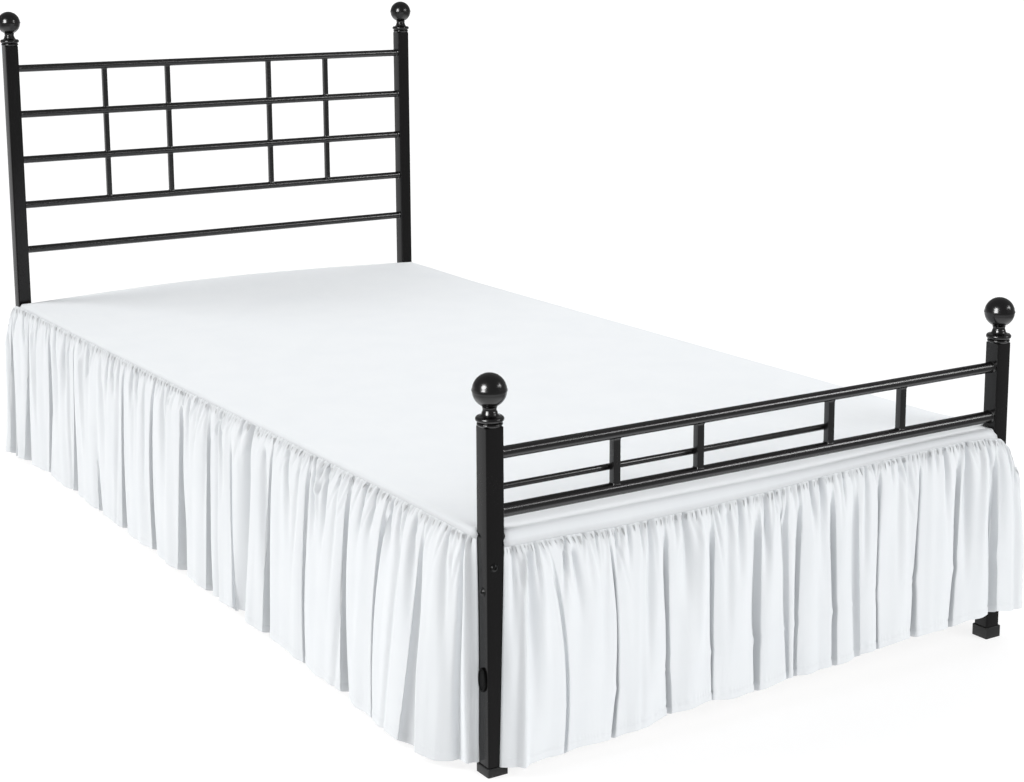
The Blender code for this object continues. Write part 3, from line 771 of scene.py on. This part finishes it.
# Hem lines: place along the edge, how far out from the posts' middle, height over the floor.
LEFT_HEM = metres((
    (0, 30, 60, 110, 170, 250, 360, 500, 650, 900, 1150, 1400, 1650, 1800, 1900, 2020),
    (30, 42, 60, 74, 70, 62, 59, 51, 50, 43, 40, 36, 30, 30, 36, 48),
    (13, 13, 12, 11, 10, 12, 13, 11, 14, 12, 13, 14, 15, 16, 14, 12),
))
FOOT_HEM = metres((
    (0, 100, 190, 280, 360, 450, 530, 610, 700, 780, 860, 960, 1030),
    (33, 36, 36, 36, 36, 35, 35, 36, 37, 36, 36, 36, 34),
    (14, 18, 22, 30, 37, 31, 37, 40, 47, 52, 51, 55, 50),
))
RIGHT_HEM = metres(((0, 400, 900, 1400, 2020), (36, 48, 44, 50, 42), (14, 11, 13, 12, 14)))
# Where each drop starts and ends: at the seam, half way down and at the hem.
LEFT_ENDS = metres(((12.2, 9.4, 12.5), (2055, 2024, 2016)))
FOOT_ENDS = metres(((12.4, 8, 3), (1015, 1022, 1024)))
RIGHT_ENDS = metres(((12.2, 10, 8), (2030, 2018, 2005)))
# How far out a drop's first edge lies against its post, how far along that reaches, and
# how far along it keeps the folds away.
EDGE_OUT = 0.0149
EDGE_REACH = 0.020
EDGE_HOLD = 0.012
# Deep folds: places and half mouths at the seam, half way down and at the hem, depth, how
# full the cloth swells after it, and where they aren't 0, how far down it starts and its
# jog at the crease.
LEFT_FOLDS = metres((
    ((140, 128, 121), (4, 12.5, 24), 18, 4),
    ((248, 260, 236), (8, 5, 3.5), 22, 4),
    ((372, 362, 332), (4, 10, 15), 32, 4),
    ((509, 511, 489), (3.5, 3.5, 5), 22, 3),
    ((642, 643, 634), (4, 8.5, 15.5), 32, 4),
    ((810, 793, 772), (5, 4.2, 3.6), 8, 3, 50),
    ((906, 896, 884), (10, 9, 16), 32, 4),
    ((1034, 1019, 1010), (3.5, 12, 23), 30, 4, 20),
    ((1160, 1168, 1147), (4.5, 8.5, 11), 30, 4, 20),
    ((1314, 1317, 1307), (5, 8.5, 14.5), 34, 4),
    ((1478, 1472, 1446), (3, 4, 14), 24, 2, 620),
    ((1597, 1601, 1601), (5, 4.2, 18), 30, 4),
    ((1753, 1751, 1765), (7, 8, 9.5), 30, 4),
    ((1883, 1889, 1897), (6, 7, 21), 28, 3),
    ((1992, 1981, 1980), (7, 11, 12), 26, 3),
))
FOOT_FOLDS = metres((
    ((78, 104, 99), (3, 3.5, 4), 7, 3),
    ((182, 194, 182), (3, 3, 4.8), 22, 4, 0, 3),
    ((284, 284, 285), (3.4, 3.5, 4.6), 22, 4, 0, -3),
    ((371, 366, 364), (5, 3.6, 3), 20, 4, 0, 2),
    ((459, 453, 451), (4, 7.2, 5.6), 20, 3, 0, 3),
    ((510, 509, 511), (3, 5.8, 4.2), 11, 2),
    ((542, 532, 526), (4.2, 4, 4.2), 24, 3, 50, 2),
    ((604, 605, 605), (4, 5.8, 6.8), 21, 3, 0, 3),
    ((651, 649, 653), (4, 8, 6), 10, 3),
    ((706, 695, 694), (3, 3.2, 4.2), 24, 4, 0, -3),
    ((790, 780, 772), (3, 3.2, 8), 25, 4, 0, -4),
    ((876, 867, 855), (5, 4.6, 5), 24, 4, 0, 4),
    ((958, 956, 951), (3, 6.6, 9.8), 19, 3, 0, -4),
))
TIGHT, EVEN, WIDE = (3.6, 5.8, 8), (4, 6.5, 9), (4.5, 7.2, 10)
RIGHT_FOLDS = metres((
    ((110, 120, 128), TIGHT, 22, 4),
    ((235, 228, 240), EVEN, 28, 5),
    ((340, 352, 350), TIGHT, 24, 4),
    ((490, 484, 496), WIDE, 30, 5),
    ((600, 612, 606), (3.4, 5, 7), 20, 4, 100),
    ((745, 750, 742), WIDE, 30, 5),
    ((870, 864, 878), EVEN, 26, 4),
    ((1005, 1012, 1008), EVEN, 30, 5),
    ((1120, 1132, 1140), TIGHT, 22, 4, 50),
    ((1275, 1268, 1280), WIDE, 30, 5),
    ((1400, 1410, 1404), TIGHT, 26, 4),
    ((1545, 1540, 1552), WIDE, 30, 5),
    ((1670, 1682, 1676), TIGHT, 22, 4),
    ((1810, 1804, 1816), EVEN, 28, 5),
    ((1915, 1925, 1920), TIGHT, 20, 4),
))
# Soft folds: place at the top and at the end, share of the drop where each begins and ends,
# depth (a ridge is below zero) and half width.
LEFT_SOFT = metres((
    (26, 22, 0, 1100, -3, 4), (38, 34, 0, 1100, 4, 4), (80, 52, 0, 700, 3, 9),
    (167, 145, 30, 550, 4.5, 9), (213, 194, 30, 320, 4, 6), (241, 235, 20, 340, 6, 9),
    (288, 294, 0, 280, 5, 6), (321, 325, 0, 340, 5.5, 7), (448, 443, 0, 480, 6, 7),
    (493, 474, 0, 420, 6, 6), (470, 465, 0, 380, -3.5, 5), (591, 554, 40, 550, 4, 9),
    (673, 642, 80, 900, 3.5, 10), (709, 685, 0, 100, 4, 5), (735, 749, 0, 1100, 8.5, 18),
    (768, 775, 0, 200, 4, 6), (857, 821, 30, 550, 4, 8), (869, 844, 50, 1100, 3.5, 9),
    (966, 962, 0, 120, 4, 5), (997, 978, 20, 600, 3, 10), (1098, 1076, 0, 180, 4, 6),
    (1117, 1093, 40, 750, 3, 10), (1254, 1226, 0, 300, 4, 8), (1273, 1251, 40, 850, 3, 11),
    (1380, 1353, 0, 320, 4.5, 7), (1404, 1394, 0, 340, 5, 7), (1447, 1406, 50, 800, 3, 12),
    (1519, 1516, 0, 340, 4.5, 9), (1552, 1541, 100, 900, -3, 10), (1654, 1655, 30, 550, 4.5, 11),
    (1714, 1701, 0, 700, 3.5, 9), (1771, 1766, 0, 200, 4, 6), (1826, 1823, 0, 260, 4.5, 7),
    (1851, 1833, 100, 900, -3, 9), (1925, 1896, 0, 300, 4.5, 7), (2030, 1952, 50, 1100, 5, 10),
))
FOOT_SOFT = metres((
    (25, 21, 0, 550, 3, 6), (42, 31, 40, 1100, -4, 5), (50, 53, 40, 1000, 5, 11),
    (61, 69, 0, 380, 3, 4), (110, 101, 0, 340, 4.5, 4), (122, 135, 60, 460, 4, 7),
    (143, 136, 0, 160, 3.5, 4), (163, 165, 0, 220, 4, 4), (198, 195, 0, 260, 4, 4),
    (221, 215, 0, 250, 3.5, 5), (242, 241, 0, 190, 3.5, 4), (259, 244, 0, 900, 4.5, 8),
    (305, 300, 0, 200, 3.5, 4), (321, 320, 0, 550, 5, 9), (346, 342, 50, 900, -2.5, 8),
    (387, 384, 0, 110, 3.5, 4), (399, 395, 50, 850, 2.5, 8), (424, 418, 0, 500, 4.5, 7),
    (439, 436, 0, 120, 3, 4), (474, 470, 0, 550, 4, 6), (492, 490, 0, 180, 3.5, 4),
    (562, 568, 0, 340, 4.5, 6), (583, 583, 0, 550, 4, 7), (628, 627, 0, 240, 3.5, 4),
    (675, 665, 0, 700, 3, 6), (692, 694, 0, 140, 3.5, 4), (730, 726, 0, 160, 4, 4),
    (744, 739, 50, 900, 3, 9), (754, 770, 0, 260, 5, 5), (812, 798, 0, 150, 3.5, 4),
    (829, 821, 0, 150, 3.5, 4), (845, 847, 0, 500, 5, 7), (895, 885, 0, 900, 5.5, 9),
    (915, 914, 0, 130, 3.5, 4), (928, 921, 40, 900, -2.5, 8), (937, 955, 0, 250, 5, 5),
    (987, 1006, 0, 400, 3, 6), (1005, 1007, 50, 1100, 2.5, 8),
))
# How far the gathers lean along the edge for each metre down, by place along the edge.
LEFT_LEAN = ((0.0, 0.1, 0.3, 0.7, 0.95, 1.2, 1.6, 2.05),
             (0.1, 0.3, 0.38, 0.42, 0.4, 0.12, 0.18, 0.1))
FOOT_LEAN = ((0.0, 0.1, 0.22, 0.45, 0.6, 0.74, 0.8, 0.92, 1.03),
             (0.2, 0.28, 0.02, 0.0, 0.1, 0.3, -0.1, 0.35, 0.5))
RIGHT_LEAN = ((0.0, 0.5, 1.0, 1.5, 2.03), (0.1, -0.2, 0.15, -0.1, 0.2))
# The one packing crease across the foot drop: share of the drop, by place along the edge.
FOOT_CREASE = ((0.0, 0.2, 0.6, 1.03), (0.78, 0.77, 0.71, 0.66))
NO_CREASE = ((0.0, 2.1), (2.0, 2.0))
CREASE_HALF = 0.010
CREASE_RISE = 0.0009
JOG_HALF = 0.045
# How a deep fold grows down the drop, curls, gets painted shade and sags.
VALLEY_COLUMNS = 14
LEAST_SPARE_COLUMNS = 8
FOLD_GROWTH = 0.30
SEAM_DEPTH_SHARE = 0.70
VALLEY_CURL = 0.45
LEAST_MOUTH = 0.0028
VALLEY_SHADE = 19.0
VALLEY_SAG = 0.0055
# How the cloth between the folds stands out.
SWELL_GROWTH = 0.20
PUFF_GROWTH = 0.12
FLARE_POWER = 0.9
GATHER_PUFF = 0.005
FIRST_SWELL = 0.003
# Soft folds: how deep they are drawn and how dark their painted shade is, how much of their width they
# have by the seam and gain below it, and how they begin and end.
SOFT_DEPTH = 2.3
SOFT_SHADE = 48.0
SOFT_WIDTH_AT_SEAM = 0.42
SOFT_WIDTH_GAIN = 0.58
SOFT_WIDTH_GROWTH = 0.30
SOFT_SHADE_LOSS = 0.4
SOFT_SHADE_RUN = 0.35
SOFT_BEGIN_RUN = 0.06
SOFT_BEGIN_LEAD = 0.4
SOFT_END_RUN = 0.10
SOFT_TAPER = 0.6
SOFT_HEM_RUN = 0.12
# Stray soft folds: how far apart, how slanted, how far down each ends, depth, half width.
STRAY_MARGINS = (0.03, 0.05)
STRAY_PITCH = (0.020, 0.046)
STRAY_SLANT = 0.007
STRAY_ENDS = (0.45, 0.80, 1.15)
STRAY_DEPTH = (-0.0010, 0.0022)
STRAY_HALF = (0.005, 0.010)
# Gathers at the seam, short creases: how far apart, deep, long, slanted, wide, and their painted
# shade.
GATHER_PITCH = 0.0085
GATHER_SPREAD = (0.55, 1.5)
GATHER_DEPTH = 0.0030
GATHER_DEPTH_SPREAD = (0.35, 1.3)
GATHER_LENGTHS = (0.018, 0.026, 0.040, 0.065, 0.110)
GATHER_LENGTH_SPREAD = (0.8, 1.25)
GATHER_SLANT = 0.10
GATHER_HALF = (0.0020, 0.0034)
GATHER_SHADE = 0.35
GATHER_SHADE_FALL = 0.030
GATHER_RIDGE = 0.4
GATHER_RIDGE_WIDTH = 1.3
# The top edge: tucked in under the seam, with a lip just below it.
SEAM_TUCK = 0.0009
SEAM_TUCK_FALL = 0.0025
SEAM_LIP = 0.0018
SEAM_LIP_FALL = 0.0045
SEAM_LIP_END = 0.035
SEAM_OVERLAP = 0.0010
SEAM_STITCH_FALL = 0.0022
# The hem: its depth, its line of stitches and the pucker along it.
HEM_DEPTH = 0.0125
HEM_GROOVE = 0.0007
HEM_GROOVE_HALF = 0.0012
HEM_THICKER = 0.0005
HEM_THICKER_RUN = 0.001
HEM_PUCKER = 0.0003
HEM_PUCKER_REACH = 4e-5
# Slow waves of the open cloth: depth, where they are full, and how fast a fold fades them.
WAVE_DEPTH = 0.0015
WAVE_RUN = 0.25
WAVE_LOSS = 1.6
SLANT_FALL = 0.12
# The hem line's own ups and downs, and how far down those and a fold's sag begin.
HEM_SWAY = (0.0016, 0.0010)
SWAY_FROM = 0.4
SAG_FROM = 0.3
# The levels down a drop: closer together near the seam and at the hem.
ROWS_PAST_MIDDLE = 4
TOP_BAND = 0.235
TOP_ROWS = 18
TOP_POWER = 1.5
HEM_BAND = 0.945
HEM_ROWS = (0.955, 0.9620, 0.9665, 0.972, 0.982, 0.991, 0.997, 1.0)


def along_path(seam, middle, hem, drop):
    """The smooth way down through three places: at the seam, half way and at the hem."""
    return (seam * (1 - drop) * (1 - 2 * drop) + middle * 4 * drop * (1 - drop)
            + hem * drop * (2 * drop - 1))


def drop_columns(folds, ends, hem, drop, spare_columns):
    """One level of a drop as the bare folded line: along, out, deep in a fold, and its painted shade.
    """
    first = along_path(*ends[0], drop)
    last = along_path(*ends[1], drop)
    stretches = []

    def lay(along, outward, deep, dark):
        """Lays a stretch of cloth, by how far out it lies from the drop's own line."""
        free = np.interp(along, *hem[:2])
        at_edge = np.exp(-np.maximum(along - first, 0) / EDGE_REACH)
        puff = GATHER_PUFF * soft_step(drop / PUFF_GROWTH) * (1 - drop)
        loose = SEAM_OUT + (free - SEAM_OUT) * drop ** FLARE_POWER + puff
        stretches.append((along, loose + (EDGE_OUT - loose) * at_edge + outward, deep, dark))

    def lay_swelling(start, end, share, swell):
        """Lays the free cloth between two folds, which swells outwards."""
        full = swell * np.sin(math.pi * share) * soft_step(drop / SWELL_GROWTH)
        none = np.zeros_like(share)
        lay(start + (end - start) * share, full, none, none)

    edge, swell = first, FIRST_SWELL
    for number, (ways, mouths, depth, next_swell, *late) in enumerate(folds):
        begin, jog = (late + [0, 0])[:2]
        centre = along_path(*ways, drop)
        crease = np.interp(ways[0], *FOOT_CREASE)
        centre += 0.5 * jog * math.exp(-((drop - crease) / JOG_HALF) ** 2)
        grown = soft_step((drop - begin) / FOLD_GROWTH)
        mouth = max(along_path(*mouths, drop), LEAST_MOUTH)
        depth = depth * grown * (SEAM_DEPTH_SHARE + (1 - SEAM_DEPTH_SHARE) * drop)
        share = np.linspace(0, 1, spare_columns[number], endpoint=False)
        lay_swelling(edge, centre - mouth, share, swell)
        step = np.linspace(-1, 1, VALLEY_COLUMNS, endpoint=False)
        inside = (1 + np.cos(math.pi * step)) / 2
        # Painted shade: each valley is darkened by its depth, most at its bottom.
        lay(centre + mouth * (step + VALLEY_CURL * grown * np.sin(math.pi * step)),
            -depth * inside, grown * np.sqrt(inside), VALLEY_SHADE * depth * np.sqrt(inside))
        edge, swell = centre + mouth, next_swell
    lay_swelling(edge, last, np.linspace(0, 1, spare_columns[-1]), swell)
    return [np.concatenate(part) for part in zip(*stretches)]


def stray_folds(first, last, chance):
    """Small soft folds, unevenly spaced along a drop."""
    place, strays = first + STRAY_MARGINS[0], []
    while place < last - STRAY_MARGINS[1]:
        place += chance.uniform(*STRAY_PITCH)
        strays.append((place, place + chance.normal(0, STRAY_SLANT), 0.0,
                       chance.choice(STRAY_ENDS), chance.uniform(*STRAY_DEPTH),
                       chance.uniform(*STRAY_HALF)))
    return strays


def press_soft_folds(folds, along, drop, open_share, push, shade):
    """Presses soft troughs and ridges into a drop, and paints shade into the troughs."""
    for start, end, begin, finish, depth, half in folds:
        share = (drop - begin) / (finish - begin)
        middle = start + (end - start) * np.clip(share, 0, 1)
        run = SOFT_HEM_RUN if finish > 1 else SOFT_END_RUN + SOFT_TAPER * (finish - begin)
        fade = soft_step((drop - begin) / SOFT_BEGIN_RUN + SOFT_BEGIN_LEAD)
        fade = fade * (1 - soft_step((drop - finish) / run + 1))
        widening = SOFT_WIDTH_AT_SEAM + SOFT_WIDTH_GAIN * soft_step(drop / SOFT_WIDTH_GROWTH)
        trough = np.exp(-((along - middle) / (half * widening)) ** 2) * fade * open_share
        push -= SOFT_DEPTH * depth * trough
        # Painted shade in the troughs, paler lower down.
        paler = 1 - SOFT_SHADE_LOSS * soft_step(drop / SOFT_SHADE_RUN)
        shade += max(depth, 0) * SOFT_SHADE * trough * paler


def press_gathers(first, last, lean, chance, along, fall, push, shade):
    """Presses the seam's gathers into a drop: short creases, each with a ridge beside it and painted
    shade.
    """
    centre = first
    while centre < last:
        centre += GATHER_PITCH * chance.uniform(*GATHER_SPREAD)
        depth = GATHER_DEPTH * chance.uniform(*GATHER_DEPTH_SPREAD)
        length = chance.choice(GATHER_LENGTHS) * chance.uniform(*GATHER_LENGTH_SPREAD)
        tilt = np.interp(centre, *lean) + chance.normal(0, GATHER_SLANT)
        half = chance.uniform(*GATHER_HALF)
        line = centre + tilt * fall
        fade = (1 - soft_step(fall / length)) * soft_step(fall / SEAM_STITCH_FALL)
        crease_line = np.exp(-((along - line) / half) ** 2) * fade
        push -= depth * crease_line
        # Painted shade in each crease near the seam.
        shade += GATHER_SHADE * crease_line * (1 - soft_step(fall / GATHER_SHADE_FALL))
        beside = (along - line - 2 * half) / (GATHER_RIDGE_WIDTH * half)
        push += GATHER_RIDGE * depth * np.exp(-beside ** 2) * fade


def press_hem(along, from_hem, deep, push):
    """Presses the hem's line of stitches into a drop, and thickens the hem below it."""
    from_stitch = from_hem - HEM_DEPTH
    push -= HEM_GROOVE * np.exp(-(from_stitch / HEM_GROOVE_HALF) ** 2)
    push += HEM_THICKER * (1 - soft_step(from_stitch / HEM_THICKER_RUN)) * (1 - 0.5 * deep)
    pucker = np.sin(along * 820 + 5 * np.sin(along * 90))
    push += HEM_PUCKER * pucker * np.exp(-from_stitch ** 2 / HEM_PUCKER_REACH)


def gather_drop(name, place, folds, soft, seam, hem, ends, lean, crease, columns, rows, seed):
    """Builds one gathered drop: deep folds, soft folds, gathers at the seam, the hem, and their
    painted shade.
    """
    top_rows = TOP_BAND * (np.arange(TOP_ROWS) / TOP_ROWS) ** TOP_POWER
    middle_rows = np.linspace(TOP_BAND, HEM_BAND, rows - TOP_ROWS - len(HEM_ROWS))
    drops = np.concatenate([top_rows, middle_rows, HEM_ROWS])
    first, last = ends[0][0], ends[1][0]
    widths = np.diff([first] + [row[0][0] for row in folds] + [last])
    open_columns = columns - VALLEY_COLUMNS * len(folds)
    spare = np.round(open_columns * widths / widths.sum()).astype(int)
    spare = np.maximum(LEAST_SPARE_COLUMNS, spare)
    levels = [drop_columns(folds, ends, hem, drop, spare) for drop in drops]
    along, out, deep, shade = (np.array([level[i] for level in levels]) for i in range(4))
    drop = np.repeat(drops[:, None], along.shape[1], axis=1)
    top = np.interp(along, *seam)
    bottom = np.interp(along, hem[0], hem[2])
    fall = (top - bottom) * drop
    open_share = 1 - np.clip(deep * WAVE_LOSS, 0, 1)

    # How far each place is pushed out of the bare folded line.
    push = SEAM_LIP * soft_step(fall / SEAM_LIP_FALL) * (1 - soft_step(fall / SEAM_LIP_END))
    push -= SEAM_TUCK * (1 - soft_step(fall / SEAM_TUCK_FALL))
    chance = np.random.default_rng(seed)
    soft = list(soft) + stray_folds(first, last, chance)
    press_soft_folds(soft, along, drop, open_share, push, shade)
    press_gathers(first, last, lean, chance, along, fall, push, shade)
    wave = (np.sin(along * 61 + 1.3 * np.sin(drop * 5.0 + along * 7))
            * np.sin(along * 23 + 2.1 * drop) + 0.5 * np.sin(along * 137 + 3.0 * drop + seed))
    push += WAVE_DEPTH * wave * soft_step(drop / WAVE_RUN) * open_share
    ridge = np.exp(-((drop - np.interp(along, *crease)) / CREASE_HALF) ** 2)
    push += CREASE_RISE * ridge * open_share
    press_hem(along, (top - bottom) - fall, deep, push)
    push *= soft_step((along - along[:, :1]) / EDGE_HOLD)

    # The push goes square to the folded line; the height follows seam, fall and hem.
    slope_along = np.gradient(along, axis=1)
    slope_out = np.gradient(out, axis=1)
    length = np.hypot(slope_along, slope_out) + 1e-9
    along = along - slope_out / length * push
    out = out + slope_along / length * push
    sway = HEM_SWAY[0] * np.sin(along * 31 + seed) + HEM_SWAY[1] * np.sin(along * 83 + 2 * seed)
    height = top - fall + sway * soft_step((drop - SWAY_FROM) / (1 - SWAY_FROM))
    height += SEAM_OVERLAP * (1 - soft_step(fall / SEAM_TUCK_FALL))
    height -= VALLEY_SAG * deep * soft_step((drop - SAG_FROM) / (1 - SAG_FROM))

    points = np.stack(place(along, out, height), axis=-1)
    # Along the cloth is measured on the level a little below half way.
    steps = np.linalg.norm(np.diff(points[rows // 2 + ROWS_PAST_MIDDLE], axis=0), axis=1)
    cloth_along = np.concatenate([[0], np.cumsum(steps)])
    slant = np.interp(along, *lean) * fall * (1 - soft_step(fall / SLANT_FALL))
    places = np.stack([cloth_along[None] - slant, fall], axis=-1)
    # The painted shade of folds, troughs and gathers goes on as the cloth's colour.
    return cloth_piece(name, points, places, np.clip(shade, 0, 1))


SIDE_CLOTH = brushed_cloth("white microfibre side drops", pucker=430.0)
FOOT_CLOTH = brushed_cloth("white microfibre foot drop", pucker=720.0)

left_drop = gather_drop(
    "cloth_ruffle_left", lambda along, out, z: (LEFT - out, FOOT + along, z),
    LEFT_FOLDS, LEFT_SOFT, LEFT_SEAM, LEFT_HEM, LEFT_ENDS, LEFT_LEAN, NO_CREASE,
    columns=1150, rows=42, seed=3)
finish_cloth(left_drop, SIDE_CLOTH, "ruffle_left")

foot_drop = gather_drop(
    "cloth_ruffle_foot", lambda along, out, z: (LEFT + along, FOOT - out, z),
    FOOT_FOLDS, FOOT_SOFT, FOOT_SEAM, FOOT_HEM, FOOT_ENDS, FOOT_LEAN, FOOT_CREASE,
    columns=720, rows=66, seed=11)
finish_cloth(foot_drop, FOOT_CLOTH, "ruffle_foot")

# The right drop's soft folds fall between its deep ones, three to each stretch.
RIGHT_SOFT_SLANT = 0.06
marks = (0.0,) + tuple(row[0][0] for row in RIGHT_FOLDS) + (RIGHT_ENDS[1][0],)
RIGHT_SOFT = tuple(
    (low + share * (high - low), low + (share + RIGHT_SOFT_SLANT) * (high - low),
     begin, end, depth, half)
    for low, high in zip(marks, marks[1:])
    for share, begin, end, depth, half in metres((
        (320, 0, 420, 4.5, 7), (600, 50, 1100, 4, 10), (800, 0, 280, 4, 6)))
)
right_drop = gather_drop(
    "cloth_ruffle_right", lambda along, out, z: (RIGHT + out, FOOT + along, z),
    RIGHT_FOLDS, RIGHT_SOFT, RIGHT_SEAM, RIGHT_HEM, RIGHT_ENDS, RIGHT_LEAN, NO_CREASE,
    columns=1150, rows=42, seed=7)
finish_cloth(right_drop, SIDE_CLOTH, "ruffle_right")


# Studio: a white floor that runs out of sight, broad soft lights and a camera off the
# near corner of the bed. None of it belongs to the object.
CAMERA_FROM_POST = (-1.32313, -2.14064, 1.16067)
CAMERA_AZIMUTH = math.radians(32.433)
CAMERA_PITCH = math.radians(90 - 10.517)
CAMERA_ROLL = math.radians(-0.2915)
IMAGE_WIDTH = 1024
IMAGE_HEIGHT = 782
FOCAL_PIXELS = 1903.35
HORIZON_ROW = 288.6
SENSOR = 36.0
VIEW_REACH = 200
FLOOR_HALF = 60.0
WALL_HALF = 50.0
WALL_RADIUS = 58.8
FLOOR_WHITE = (0.260, 0.260, 0.262, 1.0)
FLOOR_MOTTLE = (0.270, 0.270, 0.270, 1.0)
FLOOR_GLOW = 0.80
GLOW_WHITE = (1.0, 1.0, 1.0, 1.0)
# Three broad suns: the way to each, how wide it is in degrees, its strength and its colour.
SUNS = (
    ("left_sun", (-0.66, 0.48, 0.58), 28, 1.92, (1.0, 0.998, 0.993)),
    ("foot_sun", (0.42, -0.76, 0.50), 34, 1.56, (0.998, 0.999, 1.0)),
    ("back_sun", (0.56, 0.54, 0.63), 50, 0.90, (1.0, 1.0, 1.0)),
)
# Lamps that only put highlights on gloss: place, width and height, and power.
LAMPS = (
    ("left_lamp", (-6.3, -2.7, 3.4), (3.6, 3.6), 760),
    ("right_lamp", (4.0, -4.3, 3.1), (1.0, 2.0), 40),
    ("strip_lamp", (3.5, -5.0, 3.4), (3.0, 0.7), 45),
)
# The sky is as bright all over. Under the skyline only gloss meets it, and there it gains
# this much from the foot side, towards the head side and straight below.
SKY_COLOUR = (0.985, 0.992, 1.0, 1.0)
SKY_STRENGTH = 0.28
UNDER_FOOT = 0.05
UNDER_HEAD = 0.48
UNDER_DEEP = 1.10

nothing_selected()
bpy.ops.mesh.primitive_plane_add(size=2 * FLOOR_HALF)
floor = bpy.context.object
floor.name = floor.data.name = "floor"
floor_material, floor_shader, floor_start = new_material(
    "matt floor", 0.8, Specular_IOR_Level=0.1, Emission_Color=GLOW_WHITE,
    Emission_Strength=FLOOR_GLOW)
mottle = floor_start.object_place().noise(0.8)
feed(floor_shader, "Base Color", mottle.mix(FLOOR_WHITE, FLOOR_MOTTLE))
floor.data.materials.append(floor_material)
floor.visible_glossy = False

# A white wall far off all round closes the view over the floor. It gives no light.
nothing_selected()
bpy.ops.mesh.primitive_cylinder_add(vertices=48, radius=WALL_RADIUS, depth=2 * WALL_HALF,
                                    end_fill_type="NOTHING")
wall = bpy.context.object
wall.name = wall.data.name = "far_wall"
wall_material, _, _ = new_material("white wall", 0.9, Emission_Color=GLOW_WHITE,
                                   Emission_Strength=1.0)
wall.data.materials.append(wall_material)
wall.visible_diffuse = wall.visible_glossy = wall.visible_shadow = False
wall.visible_transmission = wall.visible_volume_scatter = False


def hang_light(name, kind, place):
    """A light that shines from its place to the middle of the floor."""
    light = bpy.data.lights.new(name, kind)
    piece = put_in_scene(name, light)
    piece.location = place
    piece.rotation_euler = Vector(place).to_track_quat("Z", "Y").to_euler()
    return piece, light


for name, way, angle, strength, colour in SUNS:
    sun, light = hang_light(name, "SUN", way)
    light.angle = math.radians(angle)
    light.energy = strength
    light.color = colour
    sun.visible_glossy = False
for name, place, size, power in LAMPS:
    lamp, light = hang_light(name, "AREA", place)
    light.shape = "ELLIPSE"
    light.size, light.size_y = size
    light.energy = power
    lamp.visible_diffuse = False

world = bpy.data.worlds.new("studio")
world.use_nodes = True
background = world.node_tree.nodes["Background"]
background.inputs["Color"].default_value = SKY_COLOUR
sky = Shade(world.node_tree)
way = sky.add("TexCoord", {}, {}, output=0)
level = way.part(2)
headward = way.part(1).clear_between(-0.1, 0.8)
under = 1 - level.clear_between(-0.02, 0.12)
deep_under = 1 - level.clear_between(-0.75, -0.35)
feed(background, "Strength",
     deep_under * UNDER_DEEP + under * (headward * UNDER_HEAD + UNDER_FOOT) + SKY_STRENGTH)
bpy.context.scene.world = world
bpy.context.scene.view_settings.view_transform = "Standard"

camera_data = bpy.data.cameras.new("camera")
camera_data.sensor_width = SENSOR
camera_data.lens = FOCAL_PIXELS / IMAGE_WIDTH * SENSOR
camera_data.shift_y = (HORIZON_ROW - IMAGE_HEIGHT / 2) / IMAGE_WIDTH
camera_data.clip_end = VIEW_REACH
camera = put_in_scene("camera", camera_data)
place = Vector((LEFT, FOOT, 0)) + Vector(CAMERA_FROM_POST)
turn = Matrix.Rotation(-CAMERA_AZIMUTH, 4, "Z") @ Matrix.Rotation(CAMERA_PITCH, 4, "X")
turn = turn @ Matrix.Rotation(CAMERA_ROLL, 4, "Z")
camera.matrix_world = Matrix.Translation(place) @ turn
bpy.context.scene.camera = camera
